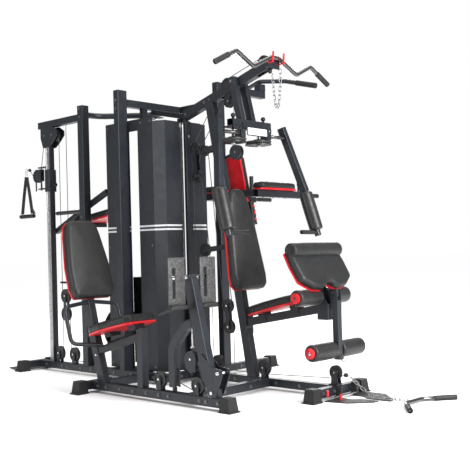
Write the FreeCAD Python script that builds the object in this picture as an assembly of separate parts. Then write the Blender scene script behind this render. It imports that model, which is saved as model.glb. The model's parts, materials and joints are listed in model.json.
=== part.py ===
import FreeCAD, Part
import math
import os

# Multi station home gym.  Millimetres, Z up.
# X runs along the press and leg-press stations (users face +X), Y runs from the
# leg-press side (-Y) to the dip station (+Y).  Origin: under the middle of the
# bounding box, on the floor.
V = FreeCAD.Vector

# ---- driving dimensions ----
OX, OY = 154.6, -78.9      # shift of the layout onto the origin
T = 50.0                   # square frame tube
WALL = 2.0                 # tube wall
Z0 = 20.0                  # underside of the base tubes above the floor
Z1 = Z0 + T                # top of the base tubes
GAP = 0.4                  # running gap between moving pieces
CABLE_R = 2.4              # coated steel cable radius
WHEEL_R = 47.0             # pulley wheel outer radius
WHEEL_W = 22.0             # pulley wheel width
Y_LEG = -685.0             # centre line of the leg-press station
Y_COL = -265.0             # centre line of the cable-column base
BOOM_SLOPE = math.radians(16.1)
LEAN = 0.175               # backward lean of the press upright, X per Z

out = {}


def put(name, *shapes):
    flat = out.setdefault(name, [])
    for s in shapes:
        for so in s.Solids:
            flat.append(so)


def P(x, y, z):
    return V(x + OX, y + OY, z)


def unit(v):
    w = V(v)
    w.normalize()
    return w


def frame(direction, side):
    """Rotation whose Z is direction and whose X is close to side."""
    return FreeCAD.Rotation(side, V(0, 0, 0), direction, "ZXY")


def rounded_rect(w, h, r):
    r = min(r, 0.49 * w, 0.49 * h)
    a, b = w / 2, h / 2
    k = r * (1 - math.sqrt(0.5))
    pts = [V(-a + r, -b, 0), V(a - r, -b, 0), V(a, -b + r, 0), V(a, b - r, 0),
           V(a - r, b, 0), V(-a + r, b, 0), V(-a, b - r, 0), V(-a, -b + r, 0)]
    mid = [V(a - k, -b + k, 0), V(a - k, b - k, 0), V(-a + k, b - k, 0), V(-a + k, -b + k, 0)]
    edges = []
    for i in range(4):
        edges.append(Part.LineSegment(pts[2 * i], pts[2 * i + 1]).toShape())
        edges.append(Part.Arc(pts[2 * i + 1], mid[i], pts[(2 * i + 2) % 8]).toShape())
    return Part.Wire(edges)


def place(shape, origin, direction, side):
    shape.Placement = FreeCAD.Placement(origin, frame(direction, side))
    return shape


def tube(p0, p1, w, h, side=None, wall=WALL, r=4.0):
    """Rectangular tube between two points, w measured along side, h across it."""
    d = p1 - p0
    side = side or (V(0, 1, 0) if abs(d.y) < 0.7 * d.Length else V(1, 0, 0))
    body = Part.Face(rounded_rect(w, h, r)).extrude(V(0, 0, d.Length))
    if wall:
        core = Part.Face(rounded_rect(w - 2 * wall, h - 2 * wall, r - wall if r > wall else 0.5))
        body = body.cut(core.extrude(V(0, 0, d.Length)))
    return place(body, p0, unit(d), side)


def box(x0, x1, y0, y1, z0, z1):
    return Part.makeBox(x1 - x0, y1 - y0, z1 - z0, P(x0, y0, z0))


def rod(p0, p1, r, r_in=0.0):
    d = p1 - p0
    c = Part.makeCylinder(r, d.Length, p0, d)
    if r_in:
        c = c.cut(Part.makeCylinder(r_in, d.Length, p0, d))
    return c


def path(points, bend):
    """Polyline with every corner rounded by a tangent arc."""
    edges = []
    cur = points[0]
    for i in range(1, len(points) - 1):
        a, b, c = points[i - 1], points[i], points[i + 1]
        u, w = unit(a - b), unit(c - b)
        ang = math.acos(max(-1, min(1, u.dot(w))))
        t = bend / math.tan(ang / 2)
        s, e = b + u * t, b + w * t
        bis = unit(u + w)
        m = b + bis * (bend / math.sin(ang / 2) - bend)
        if (s - cur).Length > 1e-6:
            edges.append(Part.LineSegment(cur, s).toShape())
        edges.append(Part.Arc(s, m, e).toShape())
        cur = e
    edges.append(Part.LineSegment(cur, points[-1]).toShape())
    return Part.Wire(edges)


def sweep(points, r, bend, r_in=0.0):
    w = path(points, bend)
    d = unit(points[1] - points[0])

    def one(rad):
        prof = Part.Wire(Part.makeCircle(rad, points[0], d))
        return w.makePipeShell([prof], True, False)
    s = one(r)
    if r_in:
        s = s.cut(one(r_in))
    return s


def prism(outline, origin, direction, side, depth, edge=0.0):
    """Closed 2-D outline (x along side) extruded along direction."""
    w = Part.makePolygon([V(x, y, 0) for x, y in outline + [outline[0]]])
    s = Part.Face(w).extrude(V(0, 0, depth))
    if edge:
        s = s.makeFillet(edge, [e for e in s.Edges if abs(e.Vertexes[0].Z - e.Vertexes[-1].Z) > 0.5 * depth])
    return place(s, origin, direction, side)


def wheel(c, axis, r=WHEEL_R, w=WHEEL_W, bore=6.0):
    """Grooved pulley wheel centred on c."""
    pts = [(bore, -w / 2), (0.45 * r, -w / 2), (0.5 * r, -w / 2 + 4), (0.78 * r, -w / 2 + 4),
           (0.82 * r, -w / 2), (r, -w / 2), (r - 9, -2.6), (r - 9, 2.6), (r, w / 2),
           (0.82 * r, w / 2), (0.78 * r, w / 2 - 4), (0.5 * r, w / 2 - 4), (0.45 * r, w / 2), (bore, w / 2)]
    poly = Part.makePolygon([V(x, 0, z) for x, z in pts + [pts[0]]])
    s = Part.Face(poly).revolve(V(0, 0, 0), V(0, 0, 1), 360)
    side = V(0, 0, 1) if abs(axis.z) < 0.9 else V(1, 0, 0)
    return place(s, c, unit(axis), side)


def bolt(p, d, r=7.5, h=5.0):
    """Hexagon head standing on a face at p, pointing along d."""
    pts = [V(r * math.cos(math.radians(60 * i)), r * math.sin(math.radians(60 * i)), 0) for i in range(7)]
    s = Part.Face(Part.makePolygon(pts)).extrude(V(0, 0, h))
    washer = Part.makeCylinder(r + 3.0, 1.6)
    s = washer.fuse(s.translated(V(0, 0, 1.6)))
    side = V(0, 0, 1) if abs(d.z) < 0.9 * d.Length else V(1, 0, 0)
    return place(s, p, unit(d), side)


def half(shape, **lim):
    """Keep the part of a shape inside the given x/y/z limits (layout coordinates)."""
    b = 6000.0
    x0, x1 = lim.get("x0", -b), lim.get("x1", b)
    y0, y1 = lim.get("y0", -b), lim.get("y1", b)
    z0, z1 = lim.get("z0", -b), lim.get("z1", b)
    return shape.common(box(x0, x1, y0, y1, z0, z1))


def cushion(outline, origin, direction, side, depth, edge):
    """Upholstered block: outline extruded, its face edges rounded."""
    w = Part.makePolygon([V(x, y, 0) for x, y in outline + [outline[0]]])
    s = Part.Face(w).extrude(V(0, 0, depth))
    up = [e for e in s.Edges if abs(e.Vertexes[0].Z - e.Vertexes[-1].Z) > 0.5 * depth]
    s = s.makeFillet(min(24.0, edge * 2.2), up)
    top = [e for e in s.Edges if e.BoundBox.ZMin > depth - 0.01]
    s = s.makeFillet(edge, top)
    return place(s, origin, direction, side)


def rim(outline, origin, direction, side, depth, corner):
    """Flat backing board with coloured edge under a cushion."""
    w = Part.makePolygon([V(x, y, 0) for x, y in outline + [outline[0]]])
    s = Part.Face(w).extrude(V(0, 0, depth))
    up = [e for e in s.Edges if abs(e.Vertexes[0].Z - e.Vertexes[-1].Z) > 0.5 * depth]
    s = s.makeFillet(corner, up)
    return place(s, origin, direction, side)


# ======================= base =======================
def base():
    yl = Y_LEG
    put("base_tubes",
        tube(P(-390, yl, 45), P(770, yl, 45), T, T),                       # leg-press runner
        tube(P(-415, -800, 45), P(-415, -570, 45), T, T),                  # its rear cross foot
        tube(P(-1585, Y_COL, 45), P(-230, Y_COL, 45), T, T),               # column runner
        tube(P(-1610, -440, 45), P(-1610, -160, 45), T, T),                # its rear cross foot
        tube(P(-205, -290, 45), P(-205, 780, 45), T, T),                   # dip-station runner
        tube(P(-180, 0, 45), P(930, 0, 45), T, T),                         # press runner
        tube(P(955, -245, 45), P(955, 245, 45), T, T),                     # press front cross foot
        tube(P(445, yl + 25, 45), P(445, -25, 45), T, T),                  # tie between runners
        tube(P(-365, yl + 25, 45), P(-365, -290, 45), 40, T))              # rear tie

    def cap(x, y, dx, dy):
        # tapered end shoe, open towards the tube; (dx, dy) points outwards
        lw = 66.0
        depth = 62.0
        d, s = V(dx, dy, 0), V(-dy, dx, 0)
        lo = [V(0, -lw / 2 - 5, 0), V(depth + 12, -lw / 2 - 5, 0),
              V(depth + 12, lw / 2 + 5, 0), V(0, lw / 2 + 5, 0)]
        hi = [V(0, -lw / 2 + 2, 78), V(depth, -lw / 2 + 2, 78), V(depth, lw / 2 - 2, 78), V(0, lw / 2 - 2, 78)]
        w1 = Part.makePolygon(lo + [lo[0]])
        w2 = Part.makePolygon(hi + [hi[0]])
        body = Part.makeLoft([w1, w2], True, True)
        flange = Part.makeBox(depth + 24, lw + 18, 8, V(-4, -lw / 2 - 9, 0))
        body = body.fuse(flange)
        body = body.cut(Part.makeBox(depth - 2, T, T, V(-8, -T / 2, Z0)))
        body.Placement = FreeCAD.Placement(P(x, y, 0), FreeCAD.Rotation(d, s, V(0, 0, 1), "ZXY"))
        return body
    pd = 52.0
    put("foot_caps",
        cap(770 - pd, yl, 1, 0),
        cap(-415, -800 + pd, 0, -1),
        cap(-415, -570 - pd, 0, 1),
        cap(-1610, -440 + pd, 0, -1),
        cap(-1610, -160 - pd, 0, 1),
        cap(-205, 780 - pd, 0, 1),
        cap(955, -245 + pd, 0, -1),
        cap(955, 245 - pd, 0, 1))
    # flat treads lying on the floor: low-row foot plates and column plate
    put("foot_plates",
        prism([(0, -190), (130, -165), (235, -60), (240, -20), (140, -20), (90, -60), (0, -60)],
              P(985, 30, 0.5), V(0, 0, 1), V(1, 0, 0), 6),
        prism([(0, 60), (90, 60), (140, 20), (290, 20), (285, 60), (150, 190), (0, 190)],
              P(985, 30, 0.5), V(0, 0, 1), V(1, 0, 0), 6),
        prism([(0, -150), (-60, -165), (-215, -120), (-215, 60), (-60, 105), (0, 105)],
              P(-1640, -270, 0.5), V(0, 0, 1), V(1, 0, 0), 6),
        # brackets that carry the low-row treads on the front cross foot
        tube(P(980.5, -45, 48), P(1020, -45, 48), 8, 60, wall=0, r=1),
        tube(P(980.5, 105, 48), P(1020, 105, 48), 8, 60, wall=0, r=1))


# ======================= posts and beams =======================
def posts():
    put("rear_posts",
        tube(P(-1015, -265, Z1), P(-1015, -265, 1912), 60, 60, V(1, 0, 0)),
        tube(P(-595, -265, Z1), P(-595, -265, 1957), 50, 80, V(1, 0, 0)),
        tube(P(-205, 290, Z1), P(-205, 290, 2020), 50, 70, V(1, 0, 0)))
    # press upright leans back; its ends are cut flat to the runner and to the boom
    up = tube(P(327.5 - LEAN * -40, 0, -40), P(327.5 - LEAN * 2000, 0, 2000), T, 64, V(0, 1, 0))
    a = BOOM_SLOPE
    under = Part.makeBox(4000, 400, 3000, V(-2000, -200, -3000))
    under.Placement = FreeCAD.Placement(P(243, 0, 1932 - 62.5), FreeCAD.Rotation(V(0, 1, 0), -math.degrees(a)))
    up = half(up, z0=Z1).common(under)
    put("press_frame", up)
    mast = tube(P(-224.5, 0, Z1), P(-224.5, 0, 1726), T, 25, V(0, 1, 0))
    put("press_frame", mast)


def boom_line(x):
    """Height of the boom's top edge at x."""
    return 1932.0 + math.tan(BOOM_SLOPE) * (x - 243.0)


def boom():
    x0, x1 = -237.0, 540.0
    h = 60.0 / math.cos(BOOM_SLOPE)
    w = Part.Face(Part.makePolygon([P(x0, -25, boom_line(x0)), P(x1, -25, boom_line(x1)),
                                    P(x1, -25, boom_line(x1) - h), P(x0, -25, boom_line(x0) - h),
                                    P(x0, -25, boom_line(x0))]))
    s = w.extrude(V(0, 50, 0))
    s = s.makeFillet(4, [e for e in s.Edges if abs(e.Vertexes[0].X - e.Vertexes[-1].X) > 500])
    w = Part.Face(Part.makePolygon([P(x0 - 9, -23, boom_line(x0 - 9) - 2), P(x1 - 3, -23, boom_line(x1 - 3) - 2),
                                    P(x1 - 3, -23, boom_line(x1 - 3) - h + 2),
                                    P(x0 - 9, -23, boom_line(x0 - 9) - h + 2),
                                    P(x0 - 9, -23, boom_line(x0 - 9) - 2)]))
    s = s.cut(w.extrude(V(0, 46, 0)))
    # slots where the cable and the two pulleys pass through the top and the underside
    for xc in (BOOM_WHEEL[0], LAT_WHEEL[0]):
        zc = boom_line(xc)
        s = s.cut(box(xc - 56, xc + 56, -15, 15, zc - 100, zc + 40))
    put("boom", s)
    # top beam, ties over the shroud, column boom
    put("top_beams",
        tube(P(-595, -225, 1875), P(-595, 345, 1875), T, T),
        half(tube(P(-560, 0, 1832), P(-230, 0, 1758), 40, 36), x0=-570, x1=-237),
        tube(P(-570, 290, 1875), P(-230, 290, 1875), T, T),
        tube(P(-1545, Y_COL, 1830), P(-1045, Y_COL, 1830), T, T))
    br = sweep([P(-1015, -235, 1850), P(-1015, -130, 1850), P(-770, 120, 1850), P(-620, 150, 1850)], 21, 150, 18.5)
    br = half(br, x1=-620)
    put("curved_brace", br)


# ======================= cable column =======================
def column():
    # perforated square column: light front strip with a row of holes, dark channel behind
    z_lo, z_hi = Z1, 1805.0
    strip = box(-1452, -1412, Y_COL - 25, Y_COL - 22, z_lo, z_hi)
    holes = []
    n = 30
    for i in range(n):
        z = 240 + i * 50.0
        holes.append(Part.makeCylinder(5.0, 10, P(-1432, Y_COL - 30, z), V(0, 1, 0)))
    strip = strip.cut(Part.makeCompound(holes))
    put("column", strip)
    chan = tube(P(-1432, Y_COL + 1.5, z_lo), P(-1432, Y_COL + 1.5, z_hi), 40, 47, V(1, 0, 0))
    deep_holes = [Part.makeCylinder(5.6, 12, P(-1432, Y_COL - 30, 240 + i * 50.0), V(0, 1, 0)) for i in range(n)]
    chan = chan.cut(Part.makeCompound(deep_holes))
    put("column_channel", chan)
    # gusset plates that hang two pulleys under the boom's end
    out_pts = [(-1500, 1805), (-1350, 1805), (-1290, 1770), (-1290, 1735), (-1345, 1690), (-1400, 1655),
               (-1470, 1655), (-1500, 1730)]
    for y in (Y_COL - 34.0, Y_COL + 28.0):
        f = Part.Face(Part.makePolygon([P(x, y, z) for x, z in out_pts + [out_pts[0]]]))
        g = f.extrude(V(0, 6, 0))
        for x in (-1359, -1454.5):
            g = g.cut(Part.makeCylinder(6.0, 20, P(x, y - 5, 1745), V(0, 1, 0)))
        put("pulley_brackets", g)


# ======================= shroud and weight stacks =======================
STACK_A = (-550.0, -60.0)      # stem of the stack behind the -Y slot
STACK_B = (-285.0, 65.0)       # stem of the stack behind the +X slot
ROD_A = [(-640.0, -60.0), (-460.0, -60.0)]
ROD_B = [(-285.0, 0.0), (-285.0, 130.0)]
ROD_R = 10.0
PLATES = 18
PLATE_T = 31.0
PLATE_P = 31.5
PLATE_Z0 = 96.0
HEAD_Z = PLATE_Z0 + PLATES * PLATE_P
PIN_ROW = 9                    # plates lifted by the selector pins
YA = V(0, 1, 0)
XA = V(1, 0, 0)
ZA = V(0, 0, 1)


def shroud():
    z0, z1, zx = 72.0, 1752.0, 1722.0
    put("shroud",
        box(-813, -561, -223, -220, z0, z1),
        box(-561, -473, -223, -220, 1675, z1),
        box(-473, -322, -223, -220, z0, z1),
        box(-813, -810, -220, -120, z0, z1),
        box(-243, -240, -186, -52, z0, zx),
        box(-243, -240, 40, 182, z0, zx),
        box(-400, -240, 182, 185, z0, zx))
    pts = [P(-322, -223, z0), P(-240, -186, z0), P(-243, -186, z0), P(-322, -220, z0), P(-322, -223, z0)]
    put("shroud", Part.Face(Part.makePolygon(pts)).extrude(V(0, 0, zx - z0)))
    put("stack_bases",
        box(-690, -410, -240, 0, 60, Z1),
        box(-340, -230, -25, 160, 60, Z1),
        box(-680, -420, -90, -30, 1770, 1776),
        box(-612, -575, -80, -40, 1776, 1850),
        box(-312, -250, -22, 152, 1722, 1728),
        box(-302, -262, -15, 15, 1728, 1752))
    for x, y, top in [r + (1770,) for r in ROD_A] + [r + (1722,) for r in ROD_B]:
        put("guide_rods", rod(P(x, y, Z1), P(x, y, top), ROD_R))
        put("bumpers", rod(P(x, y, Z1), P(x, y, 95), 24, ROD_R + 0.4))


def stack(name, centre, rods, sx, sy, cable_top):
    cx, cy = centre
    drill = [Part.makeCylinder(ROD_R + 1.0, 700, P(x, y, 90)) for x, y in rods]
    drill.append(Part.makeCylinder(8.0, 700, P(cx, cy, 90)))
    drill = Part.makeCompound(drill)
    for i in range(PLATES + 1):
        z = PLATE_Z0 + i * PLATE_P
        t = PLATE_T if i < PLATES else 24.0
        s = box(cx - sx / 2, cx + sx / 2, cy - sy / 2, cy + sy / 2, z, z + t)
        up = [e for e in s.Edges if abs(e.Vertexes[0].Z - e.Vertexes[-1].Z) > 1]
        put(name, s.makeFillet(6, up).cut(drill))
    put(name, rod(P(cx, cy, PLATE_Z0 + 4), P(cx, cy, HEAD_Z + 24), 8.0))
    put(name, rod(P(cx, cy, HEAD_Z + 24), P(cx, cy, HEAD_Z + 62), 12))
    put(name + "_cable", rod(P(cx, cy, HEAD_Z + 62), P(cx, cy, cable_top), CABLE_R))


def selector_pin(name, centre, reach, d, k=1.0):
    """Pull pin against the face of a stack; d points away from the stack."""
    x, y = centre
    p = P(x, y, PLATE_Z0 + PIN_ROW * PLATE_P + PLATE_T / 2) + d * reach
    put(name, rod(p, p + d * 6, 11.0 * k), rod(p + d * 6, p + d * 22, 7.0 * k), rod(p + d * 22, p + d * 38, 14.0 * k))


# ======================= pulleys and cables =======================
def plates_for(points, y_mid, hole=None, t=5.0, gap=WHEEL_W + 3.0, name="pulley_brackets"):
    """Two side plates with the same (x, z) outline, one each side of y_mid."""
    for sgn in (-1, 1):
        y = y_mid + sgn * (gap + t) / 2 - t / 2
        s = Part.Face(Part.makePolygon([P(x, y, z) for x, z in points + [points[0]]])).extrude(V(0, t, 0))
        for hx, hz in hole or []:
            s = s.cut(Part.makeCylinder(6.0, 3 * t, P(hx, y - t, hz), YA))
        put(name, s)


def pulley(x, y, z, r=WHEEL_R, name="pulley_wheels", half_len=20.0, w=WHEEL_W):
    put(name, wheel(P(x, y, z), YA, r=r, w=w, bore=6.05))
    put("axles", rod(P(x, y - half_len, z), P(x, y + half_len, z), 6.0))


def tangent_run(y, stops):
    """Cable through end points and round wheels.

    Each stop is (x, z, r, s): r = 0 for an end point, s = +1 when the cable turns
    left round the wheel and -1 when it turns right."""
    legs = []
    for (x1, z1, r1, s1), (x2, z2, r2, s2) in zip(stops, stops[1:]):
        dd = complex(x2 - x1, z2 - z1)
        k = s2 * r2 - s1 * r1
        d = math.sqrt(abs(dd) ** 2 - k * k)
        u = dd / complex(d, k)
        left = u * 1j
        legs.append((complex(x1, z1) - s1 * r1 * left, complex(x2, z2) - s2 * r2 * left, u))

    def pt(c):
        return P(c.real, y, c.imag)

    edges = []
    for i, (a, b, _) in enumerate(legs):
        edges.append(Part.LineSegment(pt(a), pt(b)).toShape())
        if i + 1 < len(legs):
            x, z, r, s = stops[i + 1]
            c = complex(x, z)
            a0 = math.atan2((b - c).imag, (b - c).real)
            e = legs[i + 1][0] - c
            a1 = math.atan2(e.imag, e.real)
            turn = (a1 - a0) * s % (2 * math.pi)
            am = a0 + s * turn / 2
            m = c + r * complex(math.cos(am), math.sin(am))
            edges.append(Part.Arc(pt(b), pt(m), pt(legs[i + 1][0])).toShape())
    w = Part.Wire(edges)
    a, u = legs[0][0], legs[0][2]
    prof = Part.Wire(Part.makeCircle(CABLE_R, pt(a), V(u.real, 0, u.imag)))
    return w.makePipeShell([prof], True, False)


def groove(r):
    """Radius of a cable's centre line on a wheel of outer radius r."""
    return r - 9.0 + CABLE_R + 0.3


BOOM_WHEEL = (165.0, 1901.0, 54.0)
LAT_WHEEL = (478.0, 1992.0, 50.0)
LOW_BOOM_WHEEL = (176.0, 1804.0, 42.0)
HANG_TOP = (-147.0, 1533.0, 42.0)
HANG_LOW = (-137.0, 1352.0, 42.0)
NEAR_WHEEL = (-60.0, 1512.0, 36.0)
MID_WHEEL = (-76.0, 862.0, 42.0)
BLOCK_TOP = (112.0, 500.0, 44.0)
BLOCK_LOW = (120.0, 366.0, 44.0)
PRESS_BASE_A = (15.0, 134.0, 47.0)
PRESS_BASE_B = (410.0, 130.0, 47.0)
LEVER_WHEEL = (950.0, 142.0, 40.0)
LEG_A = (224.0, 132.0, 47.0)
LEG_B = (530.0, 122.0, 47.0)
LEG_BLOCK = (484.0, 262.0, 40.0)
COL_HEAD_A = (-1454.5, 1745.0, 51.0)
COL_HEAD_B = (-1359.0, 1745.0, 51.0)
COL_BLOCK_TOP = (-1268.5, 555.0, 51.0)
COL_BLOCK_LOW = (-1268.5, 424.0, 51.0)
COL_BASE_A = (-1359.0, 136.0, 51.0)
COL_BASE_B = (-1178.0, 136.0, 51.0)
SWIVEL_X = -1551.0
SWIVEL_WHEEL = (-1597.0, 1457.0, 51.0)


def pulleys():
    for c in (COL_HEAD_A, COL_HEAD_B):
        pulley(c[0], Y_COL, c[1], c[2] - 0.5, half_len=37)
    for c, y in ((COL_BASE_A, Y_COL), (COL_BASE_B, Y_COL), (PRESS_BASE_A, 0), (LEG_A, Y_LEG)):
        pulley(c[0], y, c[1], c[2], half_len=23)
        plates_for([(c[0] - 17, Z1), (c[0] + 17, Z1), (c[0] + 15, c[1] + 10), (c[0], c[1] + 17),
                    (c[0] - 15, c[1] + 10)], y, [c[:2]])
    for name, c, y in (("wheel_press_base", PRESS_BASE_B, 0), ("wheel_leg_base", LEG_B, Y_LEG)):
        pulley(c[0], y, c[1], c[2], name, 23)
        plates_for([(c[0] - 17, Z1), (c[0] + 17, Z1), (c[0] + 15, c[1] + 10), (c[0], c[1] + 17),
                    (c[0] - 15, c[1] + 10)], y, [c[:2]])
    pulley(BOOM_WHEEL[0], 0, BOOM_WHEEL[1], BOOM_WHEEL[2], "wheel_boom", 23)
    pulley(LAT_WHEEL[0], 0, LAT_WHEEL[1], LAT_WHEEL[2], "wheel_lat", 23)
    x, z, r = LOW_BOOM_WHEEL
    pulley(x, 0, z, r, half_len=19)
    plates_for([(150, boom_line(150) - 63), (202, boom_line(202) - 63), (188, z - 14), (164, z - 14)], 0, [(x, z)])
    # floating double blocks: column, between mast and upright, behind the seat
    for top, low, y in ((COL_BLOCK_TOP, COL_BLOCK_LOW, Y_COL), (HANG_TOP, HANG_LOW, 0), (BLOCK_TOP, BLOCK_LOW, 0)):
        d = unit(V(top[0] - low[0], 0, top[1] - low[1]))
        n = (d.z * 14, -d.x * 14)
        a = (top[0] + d.x * 16, top[1] + d.z * 16)
        b = (low[0] - d.x * 16, low[1] - d.z * 16)
        outline = [(b[0] - n[0], b[1] - n[1]), (b[0] + n[0], b[1] + n[1]),
                   (a[0] + n[0], a[1] + n[1]), (a[0] - n[0], a[1] - n[1])]
        for c in (top, low):
            pulley(c[0], y, c[1], c[2], half_len=18)
        plates_for(outline, y, [top[:2], low[:2]], t=4, name="block_covers")
    for c, pts in ((NEAR_WHEEL, [(-70, 1500), (-52, 1496), (20, 1500), (16, 1540), (-56, 1526)]),
                   (MID_WHEEL, [(-86, 850), (-66, 846), (128, 872), (124, 896), (-76, 876)])):
        pulley(c[0], 0, c[1], c[2], half_len=18)
        pts = [p if p[0] < 0 else (295 - LEAN * p[1] + 30, p[1]) for p in pts]
        plates_for(pts, 0, [c[:2]], t=4, gap=T + 0.02)
        put("pulley_brackets", rod(P(c[0], 11.3, c[1]), P(c[0], 25, c[1]), 11, 6.05),
            rod(P(c[0], -25, c[1]), P(c[0], -11.3, c[1]), 11, 6.05))
    # guide wheel with round covers above the backrest
    x, y, z = 196.0, 30.0, 1478.0
    pulley(x, y, z, 42, half_len=17, w=20)
    for sgn in (-1, 1):
        cover = rod(P(x, y + sgn * 11, z), P(x, y + sgn * 16, z), 48, 6.0)
        put("block_covers", cover)
    put("pulley_brackets", half(tube(P(85, y, z - 30), P(180, y, z - 4), 10, 20, wall=0, r=1), x0=90, x1=148))
    # leg-press block with teardrop covers
    x, z, r = LEG_BLOCK
    pulley(x, Y_LEG, z, r, half_len=17, w=20)
    tear = [(x + 46 * math.cos(math.radians(a)), z + 46 * math.sin(math.radians(a))) for a in range(-20, 201, 20)]
    tear += [(x - 36, z - 52), (x, z - 76), (x + 36, z - 52)]
    plates_for(tear, Y_LEG, [(x, z)], t=4, gap=24, name="block_covers")
    # cable wheel on the lever's bracket
    x, z, r = LEVER_WHEEL
    pulley(x, 0, z, r, half_len=20, w=20)
    plates_for([(x - 26, Z1 + 8), (x + 24, Z1 + 8), (x + 14, z + 16), (x - 14, z + 16)], 0, [(x, z)], t=5, gap=25)
    put("pulley_brackets", box(x - 40, x + 24, -22, 22, Z1, Z1 + 8))
    # tall cam wheel behind the shroud
    put("pulley_wheels", wheel(P(-860, -85, 322), XA, r=155, w=16, bore=12.05))
    put("axles", rod(P(-884, -85, 322), P(-840, -85, 322), 12.0))
    put("pulley_brackets", box(-840, -815, -105, -65, 20, 350), box(-840, -815, -240, -105, 20, 60))


def W(c, s):
    return (c[0], c[1], groove(c[2]), s)


def cables():
    put("cables",
        tangent_run(Y_COL, [(-1454.5 - groove(51), 1743, 0, 0), (-1454.5, 1745, groove(51), -1),
                            (-1359, 1745, groove(51), -1), W(COL_BLOCK_TOP, 1),
                            (-1268.5 + groove(51), 1790, 0, 0)]),
        tangent_run(Y_COL, [(-1440, 136 - groove(51), 0, 0), W(COL_BASE_A, 1), W(COL_BLOCK_LOW, -1),
                            W(COL_BASE_B, 1), (-1050, 136 - groove(51) - 4, 0, 0)]),
        tangent_run(0, [(LAT_WHEEL[0] + groove(50), 1950, 0, 0), W(LAT_WHEEL, 1), W(BOOM_WHEEL, 1),
                        (-147, 1584, 0, 0)]),
        tangent_run(0, [(-211, 1621, 0, 0), W(HANG_TOP, 1), W(LOW_BOOM_WHEEL, -1),
                        (LOW_BOOM_WHEEL[0] + groove(42), 1664, 0, 0)]),
        tangent_run(0, [(-137 - groove(42), 76, 0, 0), W(HANG_LOW, -1), W(MID_WHEEL, -1), W(PRESS_BASE_A, 1),
                        W(PRESS_BASE_B, 1), W(LEVER_WHEEL, 1), (1006, 128, 0, 0)]),
        tangent_run(0, [(26, 1440, 0, 0), W(BLOCK_TOP, -1), W(NEAR_WHEEL, 1), (-116, 1440, 0, 0)]),
        tangent_run(0, [(120 - groove(44), 76, 0, 0), W(BLOCK_LOW, -1), (120 + groove(44), 76, 0, 0)]),
        tangent_run(Y_LEG, [(224 - groove(47), 76, 0, 0), W(LEG_A, -1), W(LEG_B, 1), W(LEG_BLOCK, 1),
                            (484 - groove(40), 222, 0, 0)]))
    # eyes and clips where the cables end
    def eye(x, y, z, dz=1, h=5.0):
        put("axles", rod(P(x, y, z - dz * h), P(x, y, z), 6.0))
    eye(-137 - groove(42), 0, 75.6)
    eye(120 - groove(44), 0, 75.6)
    eye(120 + groove(44), 0, 75.6)
    eye(224 - groove(47), Y_LEG, 75.6)
    put("bumpers", rod(P(340, Y_LEG, Z1), P(340, Y_LEG, 95.6), 13))
    put("axles", rod(P(-212, 0, 1624), P(-208, 0, 1624), 9))
    put("axles", rod(P(-1268.5 + groove(51), Y_COL, 1790.4), P(-1268.5 + groove(51), Y_COL, 1805), 6.0))
    # rubber stop and spring clip at the lever wheel
    stop = rod(P(1010, 0, 131), P(1030, 0, 131), 12, 3.05)
    rims = [e for e in stop.Edges if isinstance(e.Curve, Part.Circle) and e.Closed and e.Curve.Radius > 10]
    put("bumpers", stop.makeFillet(5, rims))
    put("axles", rod(P(1007, 0, 131), P(1040, 0, 131), 3.0))
    # swivel ball and stem that hangs under the tip of the boom
    x = LAT_WHEEL[0] + groove(50)
    put("bumpers", Part.makeSphere(13, P(x, 0, 1936)))


# ======================= leg press =======================
LEG_PIVOT = (665.0, 98.0)


def pad_frame(slope):
    """Unit vectors (out of the pad, up along it) for a plane x = x0 - slope * z."""
    return unit(V(1, 0, slope)), unit(V(-slope, 0, 1))


def leg_post_x(z):
    """Centre line of the leaning backrest post at height z."""
    return -300.0 - 0.28 * (z - Z1)


def leg_arm_x(z):
    """Centre line of the leg-press arm's tube at height z."""
    return 609.0 - 0.247 * (z - 210.0)


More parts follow.
